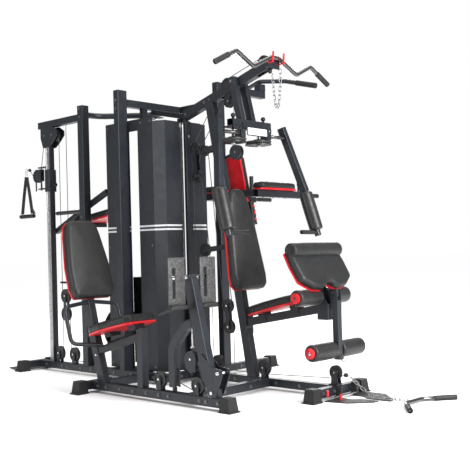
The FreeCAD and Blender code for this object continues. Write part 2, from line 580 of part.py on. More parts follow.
def leg_press():
    y = Y_LEG
    post = (P(leg_post_x(0), y, 0), P(leg_post_x(1010), y, 1010))
    solid_post = half(tube(*post, T, 60, wall=0), z0=Z1)
    put("leg_frame", half(tube(*post, T, 60), z0=Z1))
    put("leg_frame", tube(P(67, y, Z1), P(67, y, 418), T, T, XA))
    # seat beam rising from the post to the front post
    x_join, z_join, rise = leg_post_x(262) + 26, 262.0, 0.268
    beam_ends = [P(x, y, z_join + (x - x_join) * rise) for x in (-400, 60)]
    beam = half(tube(*beam_ends, 40, 44), x1=42).cut(solid_post)
    put("leg_frame", max(beam.Solids, key=lambda s: s.BoundBox.XMax))
    # adjusting stud on the post and a bracket under the seat's front
    put("axles", rod(P(x_join, y - 26, 236), P(x_join, y - 40, 236), 6))
    # backrest
    n, up = pad_frame(0.288)
    front = P(-346, y, 595)
    shape = [(-140, 0), (140, 0), (158, 60), (156, 200), (128, 400), (112, 470), (80, 498), (-80, 498),
             (-112, 470), (-128, 400), (-156, 200), (-158, 60)]
    put("leg_back_pad", cushion(shape, front - n * 58, n, YA, 58, 16))
    put("leg_back_board", rim(shape, front - n * 70, n, YA, 11.9, corner=18))
    # struts between post and backrest board
    for v in (120.0, 370.0):
        c = front - n * 70 + up * v
        s = tube(c - n * 60, c, 60, 30, YA, wall=0, r=2)
        put("leg_frame", s.cut(solid_post))
    # seat, rising to the front
    ang = math.radians(13.0)
    ns = V(-math.sin(ang), 0, math.cos(ang))
    rear = V(-math.cos(ang), 0, -math.sin(ang))
    org = P(84, y, 447)
    seat = [(-95, 0), (95, 0), (120, 30), (148, 130), (152, 240), (124, 360), (98, 404), (-98, 404), (-124, 360),
            (-152, 240), (-148, 130), (-120, 30)]
    put("leg_seat_board", rim(seat, org, ns, YA, 11.9, corner=14))
    put("leg_seat_pad", cushion(seat, org + ns * 12, ns, YA, 50, 15))
    c = org + rear * 70
    put("leg_frame", tube(c - ns * 30, c, 80, 60, YA, wall=0, r=2))
    c = org + rear * 300
    put("leg_frame", tube(c - ns * 26, c, 80, 60, YA, wall=0, r=2))
    # hand loops each side of the seat
    for s in (-1, 1):
        z_in, z_low = 557.0, 300.0
        x_in = leg_post_x(z_in) + 31
        pts = [P(x_in - 12, y + s * 25.2, z_in),
               P(x_in - 4, y + s * 202, z_in - 20),
               P(x_in + 60, y + s * 202, z_low + 18),
               P(x_in + 130, y + s * 22.4, z_low)]
        put("hand_loops", sweep(pts, 12.5, 45))
    # base block of the arm's hinge, with a chrome pin
    px, pz = LEG_PIVOT
    blk = box(px - 24, px + 24, y - 22, y + 22, Z1, pz + 20)
    put("leg_frame", blk.cut(Part.makeCylinder(9.0, 100, P(px, y - 50, pz), YA)))
    put("axles", rod(P(px, y - 42, pz), P(px, y + 42, pz), 9.0))
    # arm: tube, side plates at the hinge, curved tail, top axle
    arm = tube(P(leg_arm_x(160), y, 160), P(leg_arm_x(700), y, 700), T, 70)
    tail = sweep_square([P(570, y, 462), P(470, y, 462), P(340, y, 330), P(340, y, 98)], 46, 50)
    tail = half(tail, z0=96)
    fork = box(300, 380, y - 9, y + 9, 90, 205)      # the cable runs between its prongs
    tail = tail.cut(fork)
    tail = tail.cut(tube(P(leg_arm_x(160), y, 160), P(leg_arm_x(700), y, 700), T, 70, wall=0))
    put("leg_arm", arm, max(tail.Solids, key=lambda q: q.Volume))
    pl = [(px - 26, pz - 18), (px + 22, pz - 22), (px + 34, pz), (742, 196), (740, 222), (664, 236), (588, 300),
          (560, 250)]
    for s in (-1, 1):
        yy = y + s * 28.6 - 3
        f = Part.Face(Part.makePolygon([P(x, yy, z) for x, z in pl + [pl[0]]])).extrude(V(0, 6, 0))
        f = f.cut(Part.makeCylinder(9.05, 20, P(px, yy - 5, pz), YA))
        f = f.cut(Part.makeCylinder(8.0, 20, P(712, yy - 5, 205), YA))
        put("leg_arm", f)
    put("leg_arm_chrome", rod(P(712, y - 42, 205), P(712, y + 42, 205), 8.0))
    xt = leg_arm_x(712)
    put("leg_arm_chrome", rod(P(xt, y - 150, 712), P(xt, y + 150, 712), 11.0))
    put("leg_arm", box(xt - 34, xt + 26, y - 30, y + 30, 697, 727).cut(
        Part.makeCylinder(11.0, 400, P(xt, y - 200, 712), YA)))
    put("leg_arm_chrome", rod(P(leg_arm_x(228) - 36.6, y, 228), P(leg_arm_x(228) - 62, y, 228), 6.0))
    put("leg_arm_chrome", rod(P(490, y, 436), P(490, y, 334), 4.0), rod(P(490, y - 9, 328), P(490, y + 9, 328), 6.0))
    # foot plates on the cross axle, each with a window, and the rubber foot under it
    for s in (-1, 1):
        yc = y + s * 118
        xp = xt + 16
        lo, hi, w = 566.0, 822.0, 60.0
        plate = box(xp, xp + 6, yc - w, yc + w, lo, hi)
        plate = plate.makeFillet(8, [e for e in plate.Edges if abs(e.Vertexes[0].X - e.Vertexes[-1].X) > 1])
        put("foot_pedals", plate.cut(box(xp - 5, xp + 15, yc - 34, yc - 8, lo + 36, hi - 56)))
        lug = box(xp - 32, xp, yc - 2, yc + 22, 694, 730)
        put("leg_arm", lug.cut(Part.makeCylinder(11.0, 400, P(xt, y - 200, 712), YA)))
        put("pedal_rubber", tube(P(xp + 3, yc - w + 2, lo - 13), P(xp + 3, yc + w - 2, lo - 13), 44, 25.8,
                                 XA, wall=0, r=4))
    put("leg_arm", rod(P(xt + 4, y - 118, 548), P(xt - 130, y - 118, 512), 9))


def sweep_square(points, w, h, wall=2.5):
    """Square tube bent along a path that lies in a plane of constant y; w along y."""
    wire = path(points, 120)
    d = unit(points[1] - points[0])

    def one(a, b):
        prof = rounded_rect(a, b, 4)
        prof.Placement = FreeCAD.Placement(points[0], frame(d, YA))
        return wire.makePipeShell([prof], True, False)
    return one(w, h).cut(one(w - 2 * wall, h - 2 * wall))


# ======================= press station =======================
PRESS_PIVOT = (255.0, 1912.0)
CAM = (306.0, 117.0, 1530.0)
LEVER_PIVOT = (962.0, 597.0)
FIXED_ROLLER = (862.0, 573.0)


def press_station():
    # hinge pin through the boom
    px, pz = PRESS_PIVOT
    put("axles", rod(P(px, -72, pz), P(px, 72, pz), 9.0))
    d = unit(V(62, 0, -256))
    for s in (-1, 1):
        a, b = P(px - 6, s * 46, pz + 24), P(px + 61, s * 46, 1657)
        h = half(tube(a, b + d * 20, 36, 50), z0=1656.4)
        h = h.cut(Part.makeCylinder(9.05, 200, P(px, s * 46 - 100, pz), YA))
        put("press_arm", h)
        put("bumpers_press", rod(P(px - 6, s * 46, pz + 24) - d * 3, P(px - 6, s * 46, pz + 24) - d * 0.4, 17))
    put("press_arm", tube(P(341, -176, 1636), P(341, 176, 1636), T, 40, XA))
    # hinge plates for the two butterfly arms, lug for the cable, label bracket
    put("press_arm",
        box(262, 352, -176, 176, 1610, 1616),
        box(366.2, 372, -92, 92, 1596, 1640),
        box(205, 316, -5, 5, 1640, 1656))
    for s in (-1, 1):
        put("press_arm_chrome", rod(P(CAM[0], s * CAM[1], 1512), P(CAM[0], s * CAM[1], 1610), 8.0))
        put("press_arm_chrome", rod(P(CAM[0], s * CAM[1], 1506), P(CAM[0], s * CAM[1], 1512), 15.0))
        put("press_knobs",
            rod(P(333, s * 139, 1656.2), P(333, s * 139, 1668), 8),
            Part.makeSphere(15, P(333, s * 139, 1681)))
        # perforated adjusters at the beam's ends
        f = box(366.2, 370, s * 134 - 40, s * 134 + 40, 1591, 1615.8)
        for k in (-24, 0, 24):
            f = f.cut(Part.makeCylinder(6, 20, P(360, s * 134 + k, 1602), XA))
        put("press_arm", f)
    lab = box(402, 406, -91, 91, 1556, 1604)
    lab = lab.makeFillet(6, [e for e in lab.Edges if abs(e.Vertexes[0].X - e.Vertexes[-1].X) > 1])
    put("press_label", lab)
    put("press_arm", box(372, 402, -60, 60, 1598, 1603))


def butterfly(tag, s):
    """One swinging arm: s = -1 near the leg press, +1 near the dip station."""
    cx, cy = CAM[0], s * CAM[1]
    # cam disc with a cable groove, on the vertical pin
    pts = [(8.05, -12), (84, -12), (84, -5), (78, -1), (78, 1), (84, 5), (84, 12), (30, 12), (30, 24), (8.05, 24)]
    cam = Part.Face(Part.makePolygon([V(x, 0, z) for x, z in pts + [pts[0]]])).revolve(V(0, 0, 0), ZA, 360)
    for k in range(5):
        a = math.radians(72 * k + 20)
        cam = cam.cut(Part.makeCylinder(13, 60, V(54 * math.cos(a), 54 * math.sin(a), -30)))
    put(tag + "_cam", place(cam, P(cx, cy, 1528), ZA, XA))
    # silver cross rod in a clamp, then the arm
    put(tag + "_rod", rod(P(378, s * 100, 1567), P(378, s * 276, 1567), 12.0))
    clamp = box(cx + 34, 398, cy - 22 if s < 0 else cy - 18, cy + 18 if s < 0 else cy + 22, 1546, 1588)
    clamp = clamp.cut(rod(P(378, s * 60, 1567), P(378, s * 300, 1567), 12.0))
    put(tag, clamp)
    put(tag, box(cx + 32, cx + 92, cy - 18, cy + 18, 1540.2, 1546))
    top, mid, end = V(352, s * 294, 1636), V(449, s * 399, 1220), V(534, s * 414, 938)
    # bent tube: two straight pieces mitred at the top of the foam
    q0, q1, q2 = P(*top), P(*mid), P(*end)
    d1, d2 = unit(q1 - q0), unit(q2 - q1)
    nb = unit(d1 + d2)
    cut1 = Part.makeBox(400, 400, 400, V(-200, -200, 0))
    cut1.Placement = FreeCAD.Placement(q1, frame(nb, YA))
    cut2 = Part.makeBox(400, 400, 400, V(-200, -200, -400))
    cut2.Placement = FreeCAD.Placement(q1, frame(nb, YA))
    u1 = tube(q0, q1 + d1 * 40, 36, 50, YA).cut(cut1)
    u2 = rod(q1 - d2 * 40, q2, 21, 18.5).cut(cut2)
    ring = rod(P(378, s * 60, 1567), P(378, s * 276, 1567), 12.0)
    put(tag, u1.cut(ring))
    put(tag, u2)
    put(tag, rod(q2, q2 + d2 * 5, 21.0))
    # foam roll over the round part, grip pointing to the middle
    f0, f1 = q1 + d2 * 8, q1 + d2 * 262
    foam = rod(f0, f1, 44, 21.0)
    foam = foam.makeFillet(12, [e for e in foam.Edges if e.BoundBox.DiagonalLength > 110 and
                                isinstance(e.Curve, Part.Circle) and abs(e.Curve.Radius - 44) < 1])
    put(tag + "_foam", foam)
    g0 = q1 + d2 * 278
    grip = rod(V(g0.x, g0.y - s * 17, g0.z), V(g0.x + 2, g0.y - s * 165, g0.z + 2), 13.5)
    grip = grip.cut(rod(q1 - d2 * 40, q2, 21.02))
    put(tag + "_grip", max(grip.Solids, key=lambda q: q.Volume))


def press_seat():
    # backrest parallel to the leaning upright
    n, up = pad_frame(LEAN)
    front = P(450 - LEAN * 613, 0, 613)
    shape = [(-112, 0), (112, 0), (142, 30), (147, 90), (132, 240), (113, 440), (84, 560), (56, 620), (34, 642),
             (-34, 642), (-56, 620), (-84, 560), (-113, 440), (-132, 240), (-147, 90), (-142, 30)]
    put("press_back_pad", cushion(shape, front - n * 56, n, YA, 56, 15))
    put("press_back_board", rim(shape, front - n * 68, n, YA, 11.9, corner=9))
    solid_up = half(tube(P(327.5 + LEAN * 40, 0, -40), P(327.5 - LEAN * 2000, 0, 2000), T, 64, YA, wall=0), z0=Z1)
    for v in (90.0, 480.0):
        c = front - n * 68 + up * v
        put("press_frame", tube(c - n * 40, c, 70, 44, YA, wall=0, r=2).cut(solid_up))
    # ribbed grips each side of the backrest with coloured studs
    for s in (-1, 1):
        c = front - n * 40 + up * 490
        body = tube(c + YA * (s * 136) - up * 74, c + YA * (s * 136) + up * 74, 38, 40, YA, wall=0, r=8)
        for k in range(5):
            q = c + YA * (s * 136) + up * (-58 + 29 * k)
            ring = tube(q - up * 4, q + up * 4, 80, 80, YA, wall=0, r=1)
            ring = ring.cut(tube(q - up * 9, q + up * 9, 32, 34, YA, wall=0, r=6))
            body = body.cut(ring)
        put("ribbed_grips", body)
        for k in range(3):
            q = c + YA * (s * 136) + up * (-43.5 + 43.5 * k) + n * 20.2
            put("grip_studs", rod(q, q + n * 5, 8))
        put("press_frame", tube(c - n * 12 + YA * (s * 60), c - n * 12 + YA * (s * 117), 30, 10, up, wall=0, r=1))
    # seat beam and upright housing at its front
    sl = math.tan(math.radians(9.8))
    beam_ends = [P(270, 0, 400), P(876, 0, 400 + 606 * sl)]
    solid_beam = tube(*beam_ends, T, T, wall=0)
    beam = half(tube(*beam_ends, T, T), x1=850).cut(solid_up)
    put("press_frame", max(beam.Solids, key=lambda q: q.BoundBox.XMax))
    put("press_frame", tube(P(890, 0, 440), P(890, 0, 690), 60, 80, YA, wall=3).cut(behind_pad(14.0)))
    put("press_frame", box(292, 296, -34, 34, 330, 470).cut(solid_up).cut(beam))
    # seat cushion
    ang = math.radians(12.4)
    ns = V(-math.sin(ang), 0, math.cos(ang))
    org = P(742, 0, 534)
    seat = [(-88, 0), (88, 0), (124, 40), (128, 110), (104, 250), (76, 370), (58, 412), (36, 428), (-36, 428),
            (-58, 412), (-76, 370), (-104, 250), (-128, 110), (-124, 40)]
    put("press_seat_board", rim(seat, org, ns, YA, 11.9, corner=9))
    put("press_seat_pad", cushion(seat, org + ns * 12, ns, YA, 50, 15))
    rear = V(-math.cos(ang), 0, -math.sin(ang))
    for v in (70.0, 330.0):
        c = org + rear * v
        lug = tube(c - ns * 60, c, 60, 60, YA, wall=0, r=2).cut(solid_beam)
        put("press_frame", max(lug.Solids, key=lambda q: q.BoundBox.ZMax))
    # knob of the height pin
    stem = rod(P(850, 0, 632), P(828, 0, 632), 8)
    put("knobs", stem.fuse(rod(P(828, 0, 632), P(802, 0, 632), 17)))
    # fixed roller pair across the housing
    x, z = FIXED_ROLLER
    put("axles", rod(P(x, -246, z), P(x, 246, z), 9.0))
    # lug and pin that carry the leg lever
    lx, lz = LEVER_PIVOT
    lug = box(930, lx + 16, -13, 13, lz - 24, lz + 20).cut(Part.makeCylinder(6.0, 100, P(lx, -50, lz), YA))
    put("press_frame", lug)
    put("axles", rod(P(lx, -30, lz), P(lx, 30, lz), 6.0))


def roller(name, cap_name, x, z, y0, y1, r=48.0, core=9.0):
    f = rod(P(x, y0, z), P(x, y1, z), r, core)
    f = f.makeFillet(9, [e for e in f.Edges if isinstance(e.Curve, Part.Circle) and abs(e.Curve.Radius - r) < 1
                         and e.Closed])
    put(name, f)
    ye = y1 if abs(y1) > abs(y0) else y0
    s = 1 if ye > 0 else -1
    c = rod(P(x, ye + s * 0.1, z), P(x, ye + s * 10, z), 30, core)
    c = c.fuse(rod(P(x, ye + s * 10, z), P(x, ye + s * 13, z), 22, core))
    put(cap_name, c)


def lever():
    lx, lz = LEVER_PIVOT
    for s in (-1, 1):
        roller("fixed_rollers", "fixed_roller_caps", *FIXED_ROLLER, s * 31, s * 233, r=47.0)
        roller("lever_rollers", "lever_roller_caps", 955, 272, s * 22, s * 233)
    put("lever_axle", rod(P(955, -246, 272), P(955, 246, 272), 9.0))
    t = tube(P(970, 0, 262 - 18), P(970, 0, 552), 40, 40, YA, wall=2)
    t = t.cut(Part.makeCylinder(9.0, 100, P(955, -50, 272), YA))
    put("leg_lever", t)
    for s in (-1, 1):
        y0 = s * 17 - 2.5
        pts = [(946, 500), (986, 500), (990, 560), (982, 616), (944, 616), (936, 575)]
        f = Part.Face(Part.makePolygon([P(x, y0, z) for x, z in pts + [pts[0]]])).extrude(V(0, 5, 0))
        f = f.cut(Part.makeCylinder(6.05, 100, P(lx, -50, lz), YA))
        put("leg_lever_chrome", f.cut(tube(P(970, 0, 262 - 18), P(970, 0, 552), 40, 40, YA, wall=0)))
    # ankle cuff with its ring
    cuff = tube(P(974, 0, 216), P(974, 0, 243.6), 46, 52, YA, wall=4, r=16)
    put("ankle_cuff", cuff)
    put("leg_lever_chrome", Part.makeTorus(14, 2.6, P(974 + 29.2, 0, 222), YA))


def preacher():
    n = unit(V(0.855, 0, 0.52))
    up = V(-n.z, 0, n.x)
    top = P(826, 0, 858)
    shape = [(-226, 0), (226, 0), (236, -90), (230, -196), (150, -246), (78, -256), (36, -240), (0, -212),
             (-36, -240), (-78, -256), (-150, -246), (-230, -196), (-236, -90)]
    org = top - n * 12
    shape_dn = shape[::-1]
    body = cushion(shape_dn, org - n * 44, n, YA, 50, 14)
    put("preacher_board", rim(shape_dn, org - n * 56, n, YA, 11.9, corner=9).cut(
        rod(P(820, -300, 842), P(820, 300, 842), 44.4)))
    roll = rod(P(820, -226, 842), P(820, 226, 842), 44)
    roll = roll.makeFillet(10, [e for e in roll.Edges if isinstance(e.Curve, Part.Circle) and e.Closed])
    put("preacher_pad", body.fuse(roll).removeSplitter())
    # post inside the housing and a bracket under the board
    put("preacher_frame", tube(P(890, 0, 588), P(890, 0, 735), 53, 73, YA, wall=3).cut(behind_pad(8.0)))
    c = org - n * 56 - up * 168
    put("preacher_frame", tube(c - n * 8, c, 110, 60, YA, wall=0, r=3))


def behind_pad(gap):
    """Everything in front of a plane that lies a gap behind the arm pad's board."""
    n = unit(V(0.855, 0, 0.52))
    c = P(826, 0, 858) - n * (68.0 + gap)
    return tube(c, c + n * 400, 900, 900, YA, wall=0, r=3)


# ======================= dip and pull-up station =======================
def dip_station():
    z0, z1 = 1213.0, 1263.0
    zc = (z0 + z1) / 2
    put("dip_frame", tube(P(-445, 350, zc), P(65, 350, zc), T, T, YA))
    for xc in (-420.0, 40.0):
        put("dip_frame", tube(P(xc, 375, zc), P(xc, 872, zc), T, T, XA))
        put("dip_frame", rod(P(xc, 848, z1), P(xc, 848, z1 + 42), 12.5))
        put("dip_frame", rod(P(xc, 872, zc), P(xc, 914, zc), 12.5))
        put("dip_grips", rod(P(xc, 848, z1 + 42), P(xc, 848, z1 + 150), 15.5))
        put("dip_grips", rod(P(xc, 914, zc), P(xc, 1062, zc), 15.5))
        s = -1 if xc < -200 else 1
        wide = [(-44, 0), (44, 0), (54, 60), (54, 300), (44, 372), (-44, 372), (-54, 300), (-54, 60)]
        put("dip_boards", rim(wide, P(xc + s * 6, 385, z1 + 0.1), ZA, XA, 11.9, corner=10))
        put("dip_pads", cushion(wide, P(xc + s * 6, 385, z1 + 12.1), ZA, XA, 46, 13))
    # back pad tilted away from the arms
    t = math.tan(math.radians(13))
    n = unit(V(0, 1, t))
    up = unit(V(0, -t, 1))
    base_p = P(-205, 462, 1020)
    rect = [(125, 490), (60, 500), (-60, 500), (-125, 490), (-125, 0), (125, 0)]
    put("dip_back_board", rim(rect, base_p, n, V(-1, 0, 0), 11.9, corner=12))
    put("dip_back_pad", cushion(rect, base_p + n * 12, n, V(-1, 0, 0), 52, 15))
    c = base_p + up * 225
    br = tube(c - n * 60, c, 90, 40, XA, wall=0, r=2)
    br = br.cut(box(-445, 65, 325, 375, z0, z1)).cut(box(-240, -170, 255, 325, 900, 1700))
    put("dip_frame", max(br.Solids, key=lambda q: q.Volume))
    # beam from the post's top, bracket and pull-up bar
    put("top_beams", tube(P(-205, 325, 1985), P(-205, 760, 1985), T, T, XA))
    put("top_beams", box(-232, -178, 700, 760, 2010, 2062))
    pts = [P(-640, 830, 2000), P(-395, 796, 2066), P(-205, 730, 2086), P(-15, 796, 2066), P(232, 830, 2000)]
    put("pullup_bar", sweep(pts, 16, 90))
    for s in (-1, 1):
        e = P(-204 + s * 436, 830, 2000)
        q = P(-205 + s * 190, 796, 2066)
        d = unit(e - q)
        put("pullup_grips", rod(q + d * 95, e + d * 3, 19.5, 16.0))


# ======================= rest behind the column =======================
def rear_rest():
    y = -212.0
    a, b = P(-1445, y, 1030), P(-1025, y, 1210)
    put("rear_rest_frame", tube(a, b, 36, 36, YA))
    put("rear_rest_frame", tube(b + V(0.4, 0, 0.2), P(-820, y, 1290), 36, 36, YA))
    rect = [(-280, -100), (280, -100), (292, -60), (292, 60), (280, 100), (-280, 100), (-292, 60), (-292, -60)]
    c = P(-1130, -94, 1092)
    dd = unit(V(0.99, 0, 0.13))
    nn = unit(V(-dd.z, 0, dd.x))
    put("rear_rest_board", rim(rect, c - nn * 12.1, nn, dd, 11.9, corner=12))
    put("rear_rest_pad", cushion(rect, c, nn, dd, 50, 14))
    put("rear_rest_frame", box(-1150, -1110, -232, 0, 1052, 1080).cut(
        tube(c - nn * 12.1, c + nn * 200, 1400, 1400, YA, wall=0, r=1)))
    put("rear_rest_frame", rod(P(-1358, -265, 1162), P(-1045, -265, 1162), 14),
        rod(P(-1358, -245, 652), P(-1045, -245, 652), 8))


# ======================= bars, hooks and chains =======================
def link(c, d, side):
    """Oval chain link of round wire, long axis along d, flat in the plane of d and side."""
    L, w, r = 36.0, 20.0, 2.2
    a = w / 2 - r
    h = L / 2 - r - a
    e = [Part.LineSegment(V(a, 0, -h), V(a, 0, h)).toShape(),
         Part.Arc(V(a, 0, h), V(0, 0, h + a), V(-a, 0, h)).toShape(),
         Part.LineSegment(V(-a, 0, h), V(-a, 0, -h)).toShape(),
         Part.Arc(V(-a, 0, -h), V(0, 0, -h - a), V(a, 0, -h)).toShape()]
    wire = Part.Wire(e)
    prof = Part.Wire(Part.makeCircle(r, V(a, 0, -h), V(0, 0, 1)))
    s = wire.makePipeShell([prof], True, False)
    return place(s, c, unit(d), side)


def chain(name, pts, pitch=26.4, twist=45.0):
    """Links along a polyline, each turned a quarter round from the last."""
    seg = [(b - a).Length for a, b in zip(pts, pts[1:])]
    total = sum(seg)
    n = int(total / pitch)

    def at(s):
        for i, l in enumerate(seg):
            if s <= l or i == len(seg) - 1:
                return pts[i] + (pts[i + 1] - pts[i]) * (s / l)
            s -= l
    for k in range(n):
        a, b = at(k * pitch), at((k + 1) * pitch)
        d = unit(b - a)
        ref = YA if abs(d.y) < 0.9 else XA
        e1 = unit(d.cross(ref))
        e2 = unit(d.cross(e1))
        w = math.radians(twist + (90 if k % 2 else 0))
        put(name, link((a + b) * 0.5, d, e1 * math.cos(w) + e2 * math.sin(w)))


def catenary(a, b, sag, n=40):
    """Hanging curve between two points, sag below the chord's middle."""
    pts = []
    k = 4.5
    for i in range(n + 1):
        t = i / n
        q = a + (b - a) * t
        drop = (math.cosh(k * 0.5) - math.cosh(k * (t - 0.5))) / (math.cosh(k * 0.5) - 1)
        pts.append(q - V(0, 0, sag * drop))
    return pts


def bars():
    # lat bar hung on two hooks under the boom's tip
    x = 565.0
    half_pts = [(33, 2012), (200, 1933), (344, 2005), (518, 1915)]
    pts = [P(x, -a, z) for a, z in reversed(half_pts)] + [P(x, a, z) for a, z in half_pts]
    put("lat_bar", sweep(pts, 13, 34))
    for s in (-1, 1):
        e = P(x, s * 518, 1915)
        d = unit(V(0, s * 174, -90))
        put("lat_bar_grips", rod(e - d * 120, e + d * 4, 16.5, 13.0))
    # hooks: plates on the boom's tip with upturned ends
    for s in (-1, 1):
        put("red_hooks", hook(s * 49))
    put("boom", box(540, 548, -60, 60, 1950, 2010))
    # chain from the lat bar: down and up again
    low = catenary(P(537, 4, 1918), P(582, 30, 1968), 232, 60)
    chain("lat_chain", low, twist=20.0)
    # low bar lying in front with its chain
    ends = [(1532, -166), (1410, -10), (1410, 150), (1532, 306)]
    put("low_bar", sweep([P(x, y, 14.6) for x, y in ends], 12, 46))
    for a, b in (((1532, -166), (1410, -10)), ((1532, 306), (1410, 150))):
        e, q = P(a[0], a[1], 14.6), P(b[0], b[1], 14.6)
        d = unit(e - q)
        put("low_bar_grips", rod(e - d * 124, e + d * 4, 14.4, 12.0))
    eye = Part.makeTorus(13, 3, P(1382, 70, 14.6), V(0.3, 0, 1))
    put("low_bar_eye", eye.common(box(1300, 1397.6, 0, 140, 0, 60)))
    path_pts = [P(1052, 0, 122), P(1090, 8, 88), P(1130, 20, 52), P(1175, 32, 26), P(1230, 46, 17),
                P(1300, 60, 15.5), P(1366, 70, 15.5)]
    chain("low_chain", path_pts, twist=45.0)


def front_details():
    """Coloured pegs, chrome rung and small bracket beside the front cross foot."""
    put("pegs", rod(P(1000, -150, 30), P(1000, -150, 62), 7), rod(P(1046, -92, 6.6), P(1046, -92, 40), 7))
    put("axles", rod(P(1012, -98, 20), P(1012, 118, 20), 7))


def hook(y):
    return tube(P(548, y, 1980.5), P(592, y, 1980.5), 10, 8, YA, wall=0, r=1).fuse(
        tube(P(588, y, 1981), P(594, y, 2040), 10, 8, YA, wall=0, r=1)).removeSplitter()


def carriage():
    # sleeve round the column with its pull pin
    put("carriage", tube(P(-1432, Y_COL, 1328), P(-1432, Y_COL, 1492), 66, 56, YA, wall=6.4))
    put("carriage_pin", rod(P(-1403.8, Y_COL, 1376), P(-1388, Y_COL, 1376), 8),
        rod(P(-1388, Y_COL, 1376), P(-1367, Y_COL, 1376), 15))
    # two ears carry the vertical hinge of the swivel head
    for z, hole in ((1352.0, 7.05), (1513.0, 9.0)):
        ear = box(-1570, -1470, Y_COL - 18, Y_COL + 18, z, z + 9)
        put("carriage", ear.cut(Part.makeCylinder(hole, 60, P(SWIVEL_X, Y_COL, z - 20))))
    put("carriage", box(-1470, -1460, Y_COL - 18, Y_COL + 18, 1352, 1522))
    # swivel head with its wheel
    x, z, r = SWIVEL_WHEEL
    plates_for([(x - 16, z - 16), (x + 40, z - 40), (x + 60, z - 40), (x + 60, 1506), (x + 36, 1506),
                (x - 16, z + 18)], Y_COL, [(x, z)], t=4, gap=25, name="swivel_head")
    top = box(x + 37, x + 60, Y_COL - 12.5, Y_COL + 12.5, 1499, 1506)
    put("swivel_head", box(x + 42, x + 60, Y_COL - 12.5, Y_COL + 12.5, 1417, 1427),
        top.cut(Part.makeCylinder(6.0, 40, P(SWIVEL_X, Y_COL, 1480))),
        rod(P(SWIVEL_X, Y_COL, 1346), P(SWIVEL_X, Y_COL, 1417), 7.0),
        rod(P(x, Y_COL - 17, z), P(x, Y_COL + 17, z), 6.0))
    put("swivel_wheel", wheel(P(x, Y_COL, z), YA, r=r - 0.5, bore=6.05))
    # curved guard tube beside the wheel
    g = [P(x + 8, Y_COL + 22, z + 16), P(x - 58, Y_COL + 22, z + 16), P(x - 58, Y_COL + 22, z - 110)]
    put("swivel_head", sweep(g, 5.5, 40), rod(P(x + 2, Y_COL + 16.5, z + 6), P(x + 2, Y_COL + 22, z + 12), 3))
    # cable end: round the wheel to the ball and its stem
    put("swivel_cable", tangent_run(Y_COL, [(SWIVEL_X, 1494, 0, 0), (x, z, groove(51), -1), (-1697, 1508, 0, 0)]))
    put("carriage_cable", rod(P(-1454.5 - groove(51), Y_COL, 1742.0), P(SWIVEL_X, Y_COL, 1494.6), CABLE_R))
    put("swivel_ball",
        Part.makeSphere(13, P(-1705, Y_COL, 1512)),
        rod(P(-1716, Y_COL, 1514), P(-1735, Y_COL, 1517), 3.5))
    # snap hook, webbing triangle and grip hang from the stem
    xg = -1752.0
    put("snap_hook", sweep_ring(P(xg, Y_COL, 1494), 10, 22, 3.2))
    for s in (-1, 1):
        a, b = P(xg + s * 5, Y_COL, 1458), P(xg + s * 66, Y_COL, 1178)
        put("strap_webbing", tube(a, b, 30, 3, YA, wall=0, r=1))
    put("strap_webbing", box(xg - 12, xg + 12, Y_COL - 15, Y_COL + 15, 1457, 1461.4))
    put("strap_webbing", tube(P(xg + 70, Y_COL, 1212), P(xg + 96, Y_COL, 1176), 24, 3, YA, wall=0, r=1))
    put("strap_grip", rod(P(xg - 92, Y_COL, 1160), P(xg + 92, Y_COL, 1160), 15.5))


def sweep_ring(c, a, h, r):
    """Upright oval ring in the X-Z plane."""
    e = [Part.LineSegment(c + V(a, 0, -h), c + V(a, 0, h)).toShape(),
         Part.Arc(c + V(a, 0, h), c + V(0, 0, h + a), c + V(-a, 0, h)).toShape(),
         Part.LineSegment(c + V(-a, 0, h), c + V(-a, 0, -h)).toShape(),
         Part.Arc(c + V(-a, 0, -h), c + V(0, 0, -h - a), c + V(a, 0, -h)).toShape()]
    prof = Part.Wire(Part.makeCircle(r, c + V(a, 0, -h), ZA))
    return Part.Wire(e).makePipeShell([prof], True, False)


def bolts():
    yf = -710.0
    for x in (-330, -250, -120, 0, 120, 230, 310, 560, 610, 700):
        put("bolts", bolt(P(x, yf, 45), V(0, -1, 0)))
    for x in (-1500, -1300, -1240, -1080, -960, -700, -520, -300):
        put("bolts", bolt(P(x, -290, 45), V(0, -1, 0)))
    for x in (-80, 180, 350, 520, 700):
        put("bolts", bolt(P(x, -25, 45), V(0, -1, 0)))
    for y in (-150, -60, 120, 420, 640):
        put("bolts", bolt(P(-180, y, 45), V(1, 0, 0)))
    for y in (-560, -420, -200):
        put("bolts", bolt(P(470, y, 45), V(1, 0, 0)))
    for y in (-160, -60, 140):
        put("bolts", bolt(P(980, y, 45), V(1, 0, 0)))
    for x, z in ((-790, 100), (-790, 900), (-790, 1725), (-600, 1725), (-590, 100), (-440, 100), (-440, 1725),
                 (-345, 100), (-345, 900), (-345, 1725)):
        put("bolts", bolt(P(x, -223, z), V(0, -1, 0), 6, 4))
    for z in (1832, 1890):
        put("bolts", bolt(P(-595, -305, z), V(0, -1, 0)), bolt(P(-1015, -295, z), V(0, -1, 0)))
    for x, z in ((-30, boom_line(-30) - 31), (20, boom_line(20) - 31), (-210, boom_line(-210) - 31)):
        put("bolts", bolt(P(x, -25, z), V(0, -1, 0)))
    for z in (1040, 1120):
        put("bolts", bolt(P(-1015, -295, z), V(0, -1, 0)))
    for xc in (-420.0, 40.0):
        for y in (450, 560, 690):
            put("bolts", bolt(P(xc, y, 1213), V(0, 0, -1), 6, 4))


